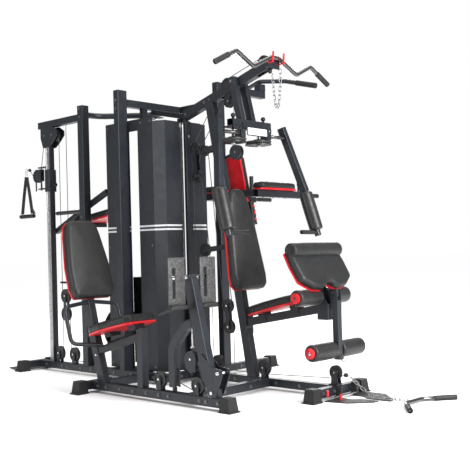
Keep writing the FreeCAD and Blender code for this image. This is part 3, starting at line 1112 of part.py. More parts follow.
GROUPS = [
    ["cables", "axles", "guide_rods", "base_tubes", "rear_posts", "press_frame", "boom", "top_beams", "leg_frame",
     "dip_frame", "pulley_wheels", "pulley_brackets", "block_covers", "stack_bases", "column", "column_channel", "curved_brace",
     "rear_rest_frame", "leg_back_board", "leg_back_pad", "leg_seat_board", "leg_seat_pad", "press_back_board",
     "press_back_pad", "press_seat_board", "press_seat_pad", "dip_boards", "dip_pads", "dip_back_board",
     "dip_back_pad", "rear_rest_board", "rear_rest_pad", "pullup_bar", "pullup_grips", "dip_grips",
     "fixed_rollers", "fixed_roller_caps", "ribbed_grips", "grip_studs", "knobs", "shroud", "foot_caps",
     "foot_plates", "hand_loops", "bumpers", "red_hooks", "pegs", "bolts", "lat_chain", "low_chain"],
    ["leg_arm_chrome", "leg_arm", "foot_pedals", "pedal_rubber"],
    ["press_arm_chrome", "press_arm", "press_label", "press_knobs", "bumpers_press"],
    ["arm_near_rod", "arm_near", "arm_near_cam", "arm_near_grip", "arm_near_foam"],
    ["arm_far_rod", "arm_far", "arm_far_cam", "arm_far_grip", "arm_far_foam"],
    ["lever_axle", "leg_lever", "leg_lever_chrome", "lever_rollers", "lever_roller_caps", "ankle_cuff"],
    ["preacher_frame", "preacher_board", "preacher_pad"],
    ["carriage", "carriage_pin"],
    ["swivel_head", "swivel_cable", "swivel_ball"],
    ["snap_hook", "strap_webbing", "strap_grip"],
    ["lat_bar", "lat_bar_grips"],
    ["low_bar", "low_bar_eye", "low_bar_grips"],
]


def settle(group):
    """Notch every solid round the solids listed before it, keeping its largest piece."""
    done = []
    for name in group:
        kept = []
        for s in out.get(name, []):
            vol = s.Volume
            for t in done:
                if not s.BoundBox.intersect(t.BoundBox):
                    continue
                if s.common(t).Volume > 0.002:
                    r = s.cut(t)
                    if r.Solids:
                        s = max(r.Solids, key=lambda q: q.Volume)
            if s.Volume > 0.02 * vol:
                kept.append(s)
                done.append(s)
        out[name] = kept


def main_build():
    base()
    posts()
    boom()
    column()
    shroud()
    stack("stack_a", STACK_A, ROD_A, 290, 100, 1770)
    stack("stack_b", STACK_B, ROD_B, 66, 230, 1722)
    selector_pin("pin_a", STACK_A, 50.4, V(0, -1, 0))
    selector_pin("pin_b", (STACK_B[0], 32.5), 33.4, V(1, 0, 0), 0.47)
    pulleys()
    cables()
    leg_press()
    press_station()
    butterfly("arm_near", -1)
    butterfly("arm_far", 1)
    press_seat()
    lever()
    preacher()
    dip_station()
    rear_rest()
    bars()
    front_details()
    carriage()
    bolts()
    for g in GROUPS:
        settle(g)


# nodes that gather several of the groups above
MERGE = {
    "top_beams": ["top_beams", "curved_brace"],
    "column": ["column", "column_channel"],
    "brackets": ["pulley_brackets", "stack_bases", "block_covers"],
    "chrome_parts": ["guide_rods", "axles"],
    "rear_posts": ["rear_posts", "rear_rest_frame"],
    "leg_frame": ["leg_frame", "hand_loops"],
    "leg_pads": ["leg_back_pad", "leg_seat_pad"],
    "press_pads": ["press_back_pad", "press_seat_pad"],
    "rest_pads": ["dip_pads", "dip_back_pad", "rear_rest_pad"],
    "pad_boards": ["leg_back_board", "leg_seat_board", "press_back_board", "press_seat_board", "dip_boards",
                   "dip_back_board", "rear_rest_board"],
    "rubber_parts": ["bumpers", "knobs", "dip_grips", "pullup_grips", "ribbed_grips"],
    "red_fittings": ["grip_studs", "fixed_roller_caps", "red_hooks", "pegs"],
    "dip_frame": ["dip_frame", "pullup_bar"],
    "leg_arm": ["leg_arm", "leg_arm_chrome"],
    "foot_pedals": ["foot_pedals", "pedal_rubber"],
    "press_arm": ["press_arm", "press_arm_chrome", "press_knobs", "bumpers_press"],
    "arm_near": ["arm_near", "arm_near_cam", "arm_near_rod"],
    "arm_near_foam": ["arm_near_foam", "arm_near_grip"],
    "arm_far": ["arm_far", "arm_far_cam", "arm_far_rod"],
    "arm_far_foam": ["arm_far_foam", "arm_far_grip"],
    "leg_lever": ["leg_lever", "leg_lever_chrome", "lever_axle"],
    "lever_rollers": ["lever_rollers", "lever_roller_caps"],
    "carriage": ["carriage", "carriage_pin"],
    "swivel_head": ["swivel_head", "swivel_cable", "swivel_ball"],
    "strap_handle": ["strap_webbing", "snap_hook", "strap_grip"],
    "lat_bar": ["lat_bar", "lat_bar_grips"],
    "low_bar": ["low_bar", "low_bar_grips", "low_bar_eye"],
}

main_build()
nodes = {}
taken = set()
for node, names in MERGE.items():
    nodes[node] = [s for n in names for s in out.get(n, [])]
    taken.update(names)
for name, solids in out.items():
    if name not in taken:
        nodes[name] = solids
os.makedirs("parts", exist_ok=True)
for node, solids in nodes.items():
    if solids:
        Part.makeCompound(solids).exportStep("parts/" + node + ".step")
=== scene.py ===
import json
import math

import bmesh
import bpy
from mathutils import Matrix, Vector, noise

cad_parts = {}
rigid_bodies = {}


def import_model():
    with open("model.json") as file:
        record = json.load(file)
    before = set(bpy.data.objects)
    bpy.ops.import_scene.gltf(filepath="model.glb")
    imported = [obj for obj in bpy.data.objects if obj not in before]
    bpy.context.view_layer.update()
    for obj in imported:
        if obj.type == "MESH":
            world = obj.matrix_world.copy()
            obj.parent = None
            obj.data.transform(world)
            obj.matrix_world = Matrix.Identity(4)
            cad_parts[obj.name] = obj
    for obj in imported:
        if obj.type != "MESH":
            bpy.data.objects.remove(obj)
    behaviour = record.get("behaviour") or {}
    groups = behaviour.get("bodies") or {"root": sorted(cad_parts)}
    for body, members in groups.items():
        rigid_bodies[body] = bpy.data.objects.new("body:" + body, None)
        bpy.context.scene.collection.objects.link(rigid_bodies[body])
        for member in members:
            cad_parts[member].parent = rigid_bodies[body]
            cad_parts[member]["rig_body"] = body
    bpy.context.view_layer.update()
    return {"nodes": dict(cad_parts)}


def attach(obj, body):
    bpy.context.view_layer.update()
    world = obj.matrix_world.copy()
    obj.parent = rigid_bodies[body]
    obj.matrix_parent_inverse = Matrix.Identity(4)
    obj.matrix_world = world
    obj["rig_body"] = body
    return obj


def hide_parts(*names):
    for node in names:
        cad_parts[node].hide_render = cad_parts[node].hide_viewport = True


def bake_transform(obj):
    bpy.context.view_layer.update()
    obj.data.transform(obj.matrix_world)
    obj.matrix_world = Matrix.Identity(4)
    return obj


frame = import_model()

# Multi station home gym.  Layout coordinates are millimetres, as in the part's source;
# ORIGIN shifts them onto the frame's origin and MM turns them into metres.
ORIGIN = Vector((154.6, -78.9, 0.0))
MM = 0.001
Y_LEG = -685.0         # centre plane of the leg press
Y_COL = -265.0         # centre plane of the cable column
AXIS_X = Vector((1, 0, 0))
AXIS_Y = Vector((0, 1, 0))
AXIS_Z = Vector((0, 0, 1))


def at(x, y, z):
    """Layout point in mm as a frame point in metres."""
    return (Vector((x, y, z)) + ORIGIN) * MM


# ======================= materials =======================
class Shader:
    """A Principled material whose inputs are fed by procedural textures in object space."""

    def __init__(self, name, **sockets):
        self.mat = bpy.data.materials.new(name)
        self.mat.use_nodes = True
        self.tree = self.mat.node_tree
        self.bsdf = self.tree.nodes["Principled BSDF"]
        self.coords = self.tree.nodes.new("ShaderNodeTexCoord").outputs["Object"]
        for socket, value in sockets.items():
            self.bsdf.inputs[socket.replace("_", " ")].default_value = value

    def feed(self, socket, value):
        """Link a node's output to the socket, or set the socket to a plain value."""
        if isinstance(value, bpy.types.NodeSocket):
            self.tree.links.new(value, socket)
        else:
            socket.default_value = value

    def node(self, kind, **inputs):
        made = self.tree.nodes.new("ShaderNode" + kind)
        for key, value in inputs.items():
            self.feed(made.inputs[key.replace("_", " ")], value)
        return made

    def stretch(self, x, y, z):
        """Object coordinates scaled along each axis."""
        return self.node("Mapping", Vector=self.coords, Scale=(x, y, z)).outputs["Vector"]

    def noise(self, scale, detail=3.0, rough=0.55, vector=None):
        made = self.node("TexNoise", Vector=vector or self.coords, Scale=scale, Detail=detail,
                         Roughness=rough)
        return made.outputs["Fac"]

    def cells(self, scale, vector=None):
        made = self.node("TexVoronoi", Vector=vector or self.coords, Scale=scale)
        return made.outputs["Distance"]

    def bands(self, scale, distortion, direction):
        made = self.node("TexWave", Vector=self.coords, Scale=scale, Distortion=distortion)
        made.bands_direction = direction
        return made.outputs["Fac"]

    def math(self, operation, a, b=0.0):
        made = self.tree.nodes.new("ShaderNodeMath")
        made.operation = operation
        self.feed(made.inputs[0], a)
        self.feed(made.inputs[1], b)
        return made.outputs[0]

    def remap(self, value, low, high, to_low, to_high):
        made = self.node("MapRange", Value=value, From_Min=low, From_Max=high, To_Min=to_low,
                         To_Max=to_high)
        return made.outputs["Result"]

    def blend(self, factor, a, b):
        """Colour a where factor is 0 and b where it is 1."""
        made = self.tree.nodes.new("ShaderNodeMix")
        made.data_type = "RGBA"
        # sockets of the RGBA mode: 0 is the factor, 6 and 7 the colours; output 2 is the colour
        self.feed(made.inputs[0], factor)
        self.feed(made.inputs[6], a)
        self.feed(made.inputs[7], b)
        return made.outputs[2]

    def colour(self, value):
        self.tree.links.new(value, self.bsdf.inputs["Base Color"])

    def roughness(self, value):
        self.tree.links.new(value, self.bsdf.inputs["Roughness"])

    def bump(self, height, distance, strength):
        made = self.node("Bump", Height=height, Distance=distance, Strength=strength)
        self.tree.links.new(made.outputs["Normal"], self.bsdf.inputs["Normal"])


def grey(value, tint=0.0):
    """Neutral colour, blue where the tint is positive."""
    return (value, value * (1 + 0.35 * tint), value * (1 + tint), 1.0)


def powder_coat(name, tone, rough, rub=0.07):
    """Satin powder-coated steel: orange-peel skin, faint mottling, a few paler rubbed patches."""
    s = Shader(name, Specular_IOR_Level=0.42)
    mottle = s.remap(s.noise(7.0, 3.0), 0.35, 0.7, 0.0, 1.0)
    base = s.blend(mottle, grey(tone * 0.84, 0.6), grey(tone * 1.2, 0.6))
    rubbed = s.remap(s.noise(31.0, 4.0, 0.7), 0.62, 0.78, 0.0, 0.5)
    s.colour(s.blend(rubbed, base, grey(rub, 0.15)))
    s.roughness(s.remap(s.noise(24.0, 3.0), 0.3, 0.7, rough - 0.06, rough + 0.07))
    s.bump(s.noise(620.0, 1.0), 0.0002, 0.5)
    return s.mat


def leather(name, tone):
    """Grained artificial leather over foam."""
    s = Shader(name, Specular_IOR_Level=0.32, Coat_Weight=0.04, Coat_Roughness=0.35)
    pebble = s.cells(720.0)
    worn = s.remap(s.noise(9.0, 3.0), 0.35, 0.7, 0.0, 1.0)
    # Painted shade: the colour darkens in the creases between the grain's pebbles.
    crease_shade = s.remap(pebble, 0.25, 0.75, 0.0, 1.0)
    top = s.blend(worn, grey(tone * 0.9, 0.08), grey(tone * 1.2, 0.08))
    s.colour(s.blend(s.math("MULTIPLY", crease_shade, 0.35), top, grey(tone * 0.45)))
    s.roughness(s.remap(s.noise(30.0, 4.0), 0.3, 0.7, 0.37, 0.5))
    fine = s.math("MULTIPLY", pebble, -1.0)
    soft = s.math("MULTIPLY", s.noise(70.0, 3.0), 1.6)
    s.bump(s.math("ADD", fine, soft), 0.00035, 0.6)
    return s.mat


def skin(name, colour, dark, rough, grain_scale, grain_depth, **sockets):
    """Moulded plastic, rubber or foam: two close tones and a fine pored surface."""
    s = Shader(name, **sockets)
    s.colour(s.blend(s.remap(s.noise(16.0, 4.0), 0.35, 0.68, 0.0, 1.0), dark, colour))
    s.roughness(s.remap(s.noise(45.0, 3.0), 0.3, 0.7, rough - 0.06, rough + 0.08))
    s.bump(s.noise(grain_scale, 3.0, 0.65), grain_depth, 0.7)
    return s.mat


def metal(name, tone, rough, streak=(1, 1, 1), tint=0.03, weight=1.0):
    """Plated or brushed steel: roughness varies in smudges, streaks run along one axis."""
    s = Shader(name, Metallic=weight)
    brushed = s.noise(240.0, 3.0, 0.6, s.stretch(*streak))
    streaks = s.remap(brushed, 0.3, 0.7, 0.0, 1.0)
    s.colour(s.blend(streaks, grey(tone * 0.88, tint), grey(tone, tint)))
    s.roughness(s.remap(s.noise(20.0, 4.0), 0.35, 0.7, rough * 0.8, rough * 1.5))
    s.bump(brushed, 0.00006, 0.5)
    return s.mat


def tread(name, tone):
    """Foot plate with a raised lozenge pattern."""
    s = Shader(name, Specular_IOR_Level=0.4)
    diagonal = s.node("Mapping", Vector=s.coords, Rotation=(0.0, 0.0, math.radians(45)),
                      Scale=(1, 1, 1))
    studs = s.cells(85.0, diagonal.outputs["Vector"])
    raised = s.remap(studs, 0.62, 0.3, 0.0, 1.0)
    # The raised studs are paler, in patches set by noise.
    stud_pale = s.math("MULTIPLY", raised, s.noise(60.0, 3.0))
    s.colour(s.blend(stud_pale, grey(tone * 0.8), grey(tone * 2.2)))
    s.roughness(s.remap(s.noise(50.0, 3.0), 0.3, 0.7, 0.42, 0.6))
    s.bump(s.math("ADD", raised, s.math("MULTIPLY", s.noise(900.0, 2.0), 0.12)), 0.0009, 0.7)
    return s.mat


def webbing(name, tone):
    """Woven nylon tape: a fine plain weave."""
    s = Shader(name, Roughness=0.85, Sheen_Weight=0.25, Sheen_Roughness=0.5)
    weave = s.math("MULTIPLY", s.bands(260.0, 0.6, "X"), s.bands(260.0, 0.6, "Z"))
    s.colour(s.blend(weave, grey(tone * 0.5), grey(tone * 1.5)))
    s.bump(weave, 0.0004, 0.8)
    return s.mat


def steel_rope(name, tone):
    """Plastic-coated steel cable: the strands show faintly through the coat."""
    s = Shader(name, Specular_IOR_Level=0.55)
    strands = s.bands(190.0, 1.2, "DIAGONAL")
    s.colour(s.blend(strands, grey(tone * 0.7, 0.1), grey(tone * 1.5, 0.1)))
    s.roughness(s.remap(s.noise(90.0, 2.0), 0.3, 0.7, 0.25, 0.4))
    s.bump(strands, 0.0003, 0.5)
    return s.mat


COAT = powder_coat("coat_charcoal", 0.012, 0.36)
SHEET = powder_coat("coat_shroud", 0.012, 0.42, rub=0.035)
IRON = powder_coat("cast_iron_plates", 0.006, 0.52, rub=0.02)
# Painted light: a lighter copy of the frame coat, with slightly paler rubbed patches, standing
# for the key light on the leg arm.
LIT_ARM_COAT = powder_coat("coat_grey_lit", 0.014, 0.34, rub=0.08)
LEATHER = leather("leatherette_black", 0.014)
FOAM = skin("foam_black", grey(0.013), grey(0.008), 0.42, 1400.0, 0.00025,
            Specular_IOR_Level=0.45, Sheen_Weight=0.08, Sheen_Roughness=0.4)
RUBBER = skin("rubber_black", grey(0.011), grey(0.007), 0.58, 900.0, 0.0002,
              Specular_IOR_Level=0.4)
WHEEL = skin("nylon_black", grey(0.014, 0.2), grey(0.009), 0.36, 420.0, 0.00012,
             Specular_IOR_Level=0.5)
GLOSS = skin("black_chrome", grey(0.02), grey(0.014), 0.14, 260.0, 0.00003,
             Specular_IOR_Level=0.8, Coat_Weight=0.6, Coat_Roughness=0.08)
RED = skin("red_vinyl", (0.66, 0.008, 0.016, 1), (0.5, 0.005, 0.012, 1), 0.38, 700.0, 0.0002,
           Specular_IOR_Level=0.45, Coat_Weight=0.15, Coat_Roughness=0.3)
LABEL = skin("blank_label", grey(0.72), grey(0.62), 0.34, 500.0, 0.00008, Coat_Weight=0.3)
STRIPE = skin("pale_stripe", grey(0.62, 0.06), grey(0.5, 0.06), 0.34, 500.0, 0.00008)
CHROME = metal("chrome", 0.72, 0.12)
LINK = metal("chain_zinc", 0.26, 0.3, tint=0.02)
SILVER = metal("silver_strip", 0.5, 0.34, streak=(1, 1, 0.05))
BOLT = metal("black_zinc", 0.16, 0.34, weight=0.8)
TREAD = tread("tread_plate", 0.026)
# Painted light: a lighter copy of the tread plate, standing for the key light on the pedal
# plates.
LIT_PEDAL = tread("pedal_plate_lit", 0.05)
WEBBING = webbing("webbing_black", 0.02)
ROPE = steel_rope("coated_cable", 0.03)
THREAD = skin("thread_black", grey(0.03), grey(0.02), 0.7, 1500.0, 0.0001)


# ======================= CAD nodes that keep their shape =======================
KEPT = {
    COAT: ["base_tubes", "boom", "brackets", "carriage", "dip_frame", "leg_frame",
           "preacher_frame", "press_frame", "rear_posts", "top_beams"],
    SHEET: ["shroud"],
    IRON: ["stack_a", "stack_b"],
    RUBBER: ["foot_caps", "rubber_parts"],
    TREAD: ["foot_plates"],
    WHEEL: ["pulley_wheels", "swivel_wheel", "wheel_boom", "wheel_lat", "wheel_leg_base",
            "wheel_press_base"],
    CHROME: ["chrome_parts", "pin_a", "pin_b"],
    LINK: ["lat_chain", "low_chain"],
    RED: ["pad_boards", "preacher_board", "red_fittings"],
    LABEL: ["press_label"],
    ROPE: ["cables"],
    BOLT: ["bolts"],
}
for material, nodes in KEPT.items():
    for node_name in nodes:
        for slot in frame["nodes"][node_name].material_slots:
            slot.link = "OBJECT"
            slot.material = material


# ======================= CAD nodes divided by finish =======================
WELD = 2e-6            # vertices of one solid nearer than this are joined, m


class Extent:
    """Bounding box of one solid in layout millimetres."""

    def __init__(self, points):
        scaled = [p / MM - ORIGIN for p in points]
        self.lo = Vector([min(p[i] for p in scaled) for i in range(3)])
        self.hi = Vector([max(p[i] for p in scaled) for i in range(3)])
        self.size = self.hi - self.lo
        self.mid = (self.hi + self.lo) / 2


def solids_of(mesh):
    """Faces of a mesh grouped by connected solid, found by shared vertex positions."""
    parent = {}

    def root(key):
        while parent[key] != key:
            parent[key] = parent[parent[key]]
            key = parent[key]
        return key

    keys = [tuple(round(c, 6) for c in v.co) for v in mesh.vertices]
    for key in keys:
        parent.setdefault(key, key)
    for face in mesh.polygons:
        first = root(keys[face.vertices[0]])
        for i in face.vertices[1:]:
            other = root(keys[i])
            parent[other] = first
    groups = {}
    for face in mesh.polygons:
        groups.setdefault(root(keys[face.vertices[0]]), []).append(face.index)
    return list(groups.values())


def finish_mesh(obj, material, angle=32.0):
    """Material and shading of a new piece; edges sharper than angle stay sharp."""
    obj.data.materials.clear()
    obj.data.materials.append(material)
    obj.data.shade_smooth()
    obj.data.set_sharp_from_angle(angle=math.radians(angle))


def divide(node_name, label_of, finishes):
    """Replace a CAD node by one piece for each label that label_of gives its solids.

    Solids labelled None are left out: pieces built further on stand for them."""
    source = frame["nodes"][node_name]
    mesh = source.data
    labels = {}
    for faces in solids_of(mesh):
        points = [mesh.vertices[i].co for f in faces for i in mesh.polygons[f].vertices]
        labels.setdefault(label_of(Extent(points)), set()).update(faces)
    for label, faces in sorted((k, v) for k, v in labels.items() if k):
        bm = bmesh.new()
        bm.from_mesh(mesh)
        bm.faces.ensure_lookup_table()
        others = [f for f in bm.faces if f.index not in faces]
        bmesh.ops.delete(bm, geom=others, context="FACES")
        bmesh.ops.remove_doubles(bm, verts=bm.verts, dist=WELD)
        part = bpy.data.meshes.new(node_name + "_" + label)
        bm.to_mesh(part)
        bm.free()
        piece = bpy.data.objects.new(node_name + "_" + label, part)
        bpy.context.collection.objects.link(piece)
        material, slot_name = finishes[label]
        finish_mesh(piece, material)
        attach(piece, source["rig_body"])
        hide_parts(node_name)


def arm_label(extent):
    """Butterfly arm: the cross rod (24 mm thick), the flat cable cam and the painted tube."""
    if abs(extent.size.x - 24) < 2 and abs(extent.size.z - 24) < 2:
        return "rod"
    if extent.size.z < 40 and extent.size.x > 140:
        return "cam"
    return "tube"


def press_arm_label(extent):
    """Press arm: cam pins below the beam, knobs on it, rubber buffers by the hinge."""
    across = max(extent.size.x, extent.size.y)
    if across < 34 and extent.mid.z < 1640:
        return "pins"
    if abs(extent.mid.y) > 100 and extent.lo.z > 1655:
        return "knobs"
    if across < 40 and extent.lo.z > 1880:
        return "knobs"
    return "beam"


def leg_arm_label(extent):
    """Leg arm: long cross axles, short upright pins and small stubs are chrome."""
    thin = sorted(extent.size)[1] < 26
    axle = thin and extent.size.y > 60
    pin = extent.size.z < 130 and extent.size.x < 13
    stub = extent.size.x < 30 and thin
    return "chrome" if axle or pin or stub else "tube"


def lever_label(extent):
    """Leg lever: the roll axle, the hinge pin and the thin ring are chrome."""
    if extent.size.y > 400 or extent.size.z < 40 or extent.size.y < 7:
        return "chrome"
    return "tube"


def swivel_label(extent):
    """Pulley head: the stop ball and the cable's end lie beyond the forks, at lower x."""
    outer = extent.lo.x < -1715 and extent.size.x < 60
    small = extent.size.z < 30 and extent.size.x < 30 and extent.hi.x < -1690
    if outer or small:
        return "ball"
    slim = extent.size.z < 120 and extent.size.y < 6
    if extent.lo.x < -1690 and extent.hi.x < -1540 and slim:
        return "cable"
    return "head"


divide("column", lambda e: "strip" if e.size.y < 10 else "channel",
       {"strip": (SILVER, "silver"), "channel": (COAT, "frame")})
for arm in ("arm_near", "arm_far"):
    divide(arm, arm_label,
           {"rod": (GLOSS, "bar"), "cam": (WHEEL, "wheel"), "tube": (COAT, "frame")})
    divide(arm + "_foam", lambda e: None if e.size.z > 100 else "grip",
           {"grip": (RUBBER, "rubber")})
divide("press_arm", press_arm_label,
       {"pins": (CHROME, "chrome"), "knobs": (RUBBER, "rubber"), "beam": (COAT, "frame")})
divide("leg_arm", leg_arm_label, {"chrome": (CHROME, "chrome"), "tube": (LIT_ARM_COAT, "frame")})
divide("leg_lever", lever_label, {"chrome": (CHROME, "chrome"), "tube": (COAT, "frame")})
divide("foot_pedals", lambda e: "plates" if e.size.z > 100 else "feet",
       {"plates": (LIT_PEDAL, "tread"), "feet": (RUBBER, "rubber")})
divide("lever_rollers", lambda e: None if e.size.y > 60 else "caps", {"caps": (RED, "red")})
divide("lat_bar", lambda e: "bar" if e.size.y > 300 else "grips",
       {"bar": (GLOSS, "bar"), "grips": (RUBBER, "rubber")})
divide("low_bar", lambda e: "bar" if e.size.y > 300 else "eye" if e.size.y < 40 else "grips",
       {"bar": (GLOSS, "bar"), "eye": (CHROME, "chrome"), "grips": (RUBBER, "rubber")})
divide("swivel_head", swivel_label,
       {"head": (COAT, "frame"), "ball": (RUBBER, "rubber"), "cable": (ROPE, "cable")})
divide("strap_handle", lambda e: "hook" if e.size.y < 8 else None,
       {"hook": (CHROME, "chrome")})


# ======================= mesh helpers =======================
FACETS = 56            # sides of a turned piece


def circle(count):
    """Angles of count points evenly round a circle."""
    return [2 * math.pi * k / count for k in range(count)]


def new_piece(name, bm, material, body, node=None, angle=50.0):
    """Turn a bmesh in frame metres into a riding piece."""
    bmesh.ops.recalc_face_normals(bm, faces=bm.faces)
    mesh = bpy.data.meshes.new(name)
    bm.to_mesh(mesh)
    bm.free()
    piece = bpy.data.objects.new(name, mesh)
    bpy.context.collection.objects.link(piece)
    finish_mesh(piece, material, angle)
    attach(piece, body)
    if node:
        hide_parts(node)
    return piece


def skin_rings(bm, rings, joined=False):
    """Quads between successive closed rings of points.

    The end rings are filled, or with joined they are the two sides of one more band."""
    loops = [[bm.verts.new(p) for p in ring] for ring in rings]
    for a, b in zip(loops, loops[1:] + (loops[:1] if joined else [])):
        for i in range(len(a)):
            j = (i + 1) % len(a)
            bm.faces.new((a[i], a[j], b[j], b[i]))
    if not joined:
        bm.faces.new(list(reversed(loops[0])))
        bm.faces.new(loops[-1])


def turned(name, start, end, profile, material, body, node):
    """Piece turned about the line start-end; profile is (distance from start, radius) in mm."""
    direction = (end - start).normalized()
    side = direction.orthogonal().normalized()
    other = direction.cross(side)
    rings = []
    for along, radius in profile:
        centre = start + direction * along * MM
        rings.append([centre + (side * math.cos(t) + other * math.sin(t)) * radius * MM
                      for t in circle(FACETS)])
    bm = bmesh.new()
    skin_rings(bm, rings)
    return new_piece(name, bm, material, body, node)


# ======================= cables above a slide =======================
def shortening_cable(node_name):
    """Cable above a slide: a fixed copy of the CAD cable in its place, riding on no body."""
    source = frame["nodes"][node_name]
    run = bpy.data.objects.new(node_name + "_run", source.data.copy())
    bpy.context.collection.objects.link(run)
    finish_mesh(run, ROPE)
    points = [v.co for v in run.data.vertices]
    low = min(points, key=lambda p: p.z).copy()
    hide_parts(node_name)
    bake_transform(run)


for cable in ("stack_a_cable", "stack_b_cable", "carriage_cable"):
    shortening_cable(cable)


# ======================= upholstered pads =======================
CORNER = 34.0          # plan radius of a pad's corners, mm
CORNER_POINTS = 9      # points on the curve round a corner
STEP = 5.0             # spacing of points round a pad's outline, mm
EDGE = 24.0            # radius rolled between a pad's side and its face, mm
PAD_GAP = 0.4          # pad's underside above its board, mm
PUCKER_PITCH = 26.0    # length of the puckers round a pad's edge, mm
SLACK_PITCH = 70.0     # length of the hollows on a pad's face, mm
FACE_RINGS = (0.93, 0.84, 0.73, 0.6, 0.46, 0.32, 0.18, 0.06)   # share of the way from the spine
STITCH_PITCH = 2       # outline points from one stitch to the next
STITCH_ANGLE = 52.0    # where the stitches lie on the rolled edge, degrees


def rounded_outline(points, radius):
    """Closed outline with each corner replaced by a curve, resampled evenly."""
    corners = [Vector(p) for p in points]
    dense = []
    for i, corner in enumerate(corners):
        back = corners[i - 1] - corner
        ahead = corners[(i + 1) % len(corners)] - corner
        tangent = radius / math.tan(back.angle(ahead) / 2)
        reach = min(tangent, 0.48 * back.length, 0.48 * ahead.length)
        a, b = corner + back.normalized() * reach, corner + ahead.normalized() * reach
        for k in range(CORNER_POINTS):
            t = k / (CORNER_POINTS - 1)
            dense.append(a * (1 - t) ** 2 + corner * 2 * t * (1 - t) + b * t * t)
    lengths = [(dense[(i + 1) % len(dense)] - dense[i]).length for i in range(len(dense))]
    total = sum(lengths)
    count = int(total / STEP)
    even = []
    i, passed = 0, 0.0
    for k in range(count):
        goal = total * k / count
        while passed + lengths[i] < goal:
            passed += lengths[i]
            i += 1
        t = (goal - passed) / lengths[i] if lengths[i] else 0.0
        even.append(dense[i].lerp(dense[(i + 1) % len(dense)], t))
    return even


def inward_normals(loop):
    """Unit normals of a closed outline, pointing into it."""
    area = sum(a.cross(b) for a, b in zip(loop, loop[1:] + loop[:1]))
    turn = 1.0 if area > 0 else -1.0
    count = len(loop)
    normals = []
    for i in range(count):
        along = (loop[(i + 2) % count] - loop[i - 2]).normalized()
        normals.append(Vector((-along.y, along.x)) * turn)
    return normals


def spine_of(loop):
    """Ends of the line along the middle of an outline, short of its ends by half its width."""
    xs = [p.x for p in loop]
    ys = [p.y for p in loop]
    middle = Vector(((min(xs) + max(xs)) / 2, (min(ys) + max(ys)) / 2))
    wide, tall = max(xs) - min(xs), max(ys) - min(ys)
    axis = Vector((1, 0)) if wide > tall else Vector((0, 1))
    reach = abs(wide - tall) / 2
    return middle - axis * reach, middle + axis * reach


def nearest_on(line_start, line_end, point):
    """Point of a line piece that is nearest to the given point."""
    line = line_end - line_start
    if line.length < 1:
        return line_start
    t = max(0.0, min(1.0, (point - line_start).dot(line) / line.length_squared))
    return line_start + line * t


def pad(name, outline, origin, normal, side, depth, body, node, crown=7.0, spine=None):
    """Crowned cushion: rolled edge, sewn seam, faint puckers, on the plane through origin.

    outline is in mm, x along side; spine is the pair of points that the face rises to."""
    up = normal.cross(side)
    loop = rounded_outline(outline, CORNER)
    inward = inward_normals(loop)
    ends = [Vector(e) for e in spine or spine_of(loop)]
    seed = Vector((sum(map(ord, name)) * 0.37, 1.7, 4.1))

    def pucker(i, strength):
        p = loop[i] / PUCKER_PITCH
        return strength * noise.noise(Vector((p.x, p.y, 0.0)) + seed)

    def lift(p2, height):
        return origin + (side * p2.x + up * p2.y + normal * height) * MM

    def roll(degrees, inset=0.0):
        """Inset and height of a point on the rolled edge, 0 at the side and 90 on the face."""
        t = math.radians(degrees)
        return EDGE * (1 - math.cos(t)) + inset, depth - EDGE + EDGE * math.sin(t)

    wall = [(5.0, PAD_GAP), (2.0, 2.5), (0.6, 8.0), (0.2, 0.45 * (depth - EDGE)),
            (0.4, depth - EDGE)]
    below = [roll(a) for a in (14, 27, 38)]
    seam = [roll(43, -0.6), roll(45.5, 2.0), roll(48, -0.6)]
    above = [roll(a) for a in (54, 63, 72, 80)]
    rings = []
    for k, (inset, height) in enumerate(wall + below + seam + above):
        ripple = 0.35 if k < 4 else 1.0
        rings.append([lift(p + q * (inset + pucker(i, ripple)), height + pucker(i, 0.5 * ripple))
                      for i, (p, q) in enumerate(zip(loop, inward))])

    rim_inset, top = above[-1]
    rim = [p + q * rim_inset for p, q in zip(loop, inward)]
    feet = [nearest_on(*ends, p) for p in rim]
    for s in FACE_RINGS:
        ring = []
        for i, (p, q) in enumerate(zip(rim, feet)):
            spot = q.lerp(p, s)
            swell = crown * (1 - s ** 2.2)
            place = Vector((spot.x / SLACK_PITCH, spot.y / SLACK_PITCH, 0.3))
            slack = 0.8 * noise.noise(place + seed)
            ring.append(lift(spot, top + swell + slack * (1 - s ** 4) + pucker(i, 0.5 * s ** 6)))
        rings.append(ring)
    bm = bmesh.new()
    skin_rings(bm, rings)
    piece = new_piece(name, bm, LEATHER, body, node, angle=60.0)
    stitch(name + "_stitches", loop, inward, lift, roll(STITCH_ANGLE), body, node)


def stitch(name, loop, inward, lift, line, body, node):
    """Row of thread beads just inside the seam; line is their inset and height."""
    inset, height = line[0], line[1] + 0.5
    count = len(loop)
    bm = bmesh.new()
    for i in range(0, count, STITCH_PITCH):
        j = (i + 1) % count
        here = lift(loop[i] + inward[i] * inset, height)
        ahead = lift(loop[j] + inward[j] * inset, height)
        out_dir = (lift(loop[i], height) - here).normalized()
        run = (ahead - here) * 0.72
        up_dir = run.normalized().cross(out_dir)
        rings = []
        for t, r in ((0.0, 0.2), (0.12, 0.75), (0.5, 0.9), (0.88, 0.75), (1.0, 0.2)):
            centre = here + run * t
            rings.append([centre + (out_dir * math.cos(a) + up_dir * math.sin(a)) * r * MM
                          for a in (math.pi * k / 3 for k in range(6))])
        skin_rings(bm, rings)
    new_piece(name, bm, THREAD, body, node)


def both_sides(half):
    """Outline that is symmetrical about x = 0, from the points of one half, near end first."""
    (x, y), rest = half[0], half[1:]
    return [(-x, y)] + half + [(-px, py) for px, py in reversed(rest) if px]


def leaning(slope):
    """Way that a backrest faces when its plane is x = x0 - slope * z."""
    return Vector((1, 0, slope)).normalized()


def tilted(degrees):
    """Way that a seat faces when its front edge is raised by the angle."""
    tilt = math.radians(degrees)
    return Vector((-math.sin(tilt), 0, math.cos(tilt)))


BOARD = 12.0           # thickness of the boards behind the pads, mm

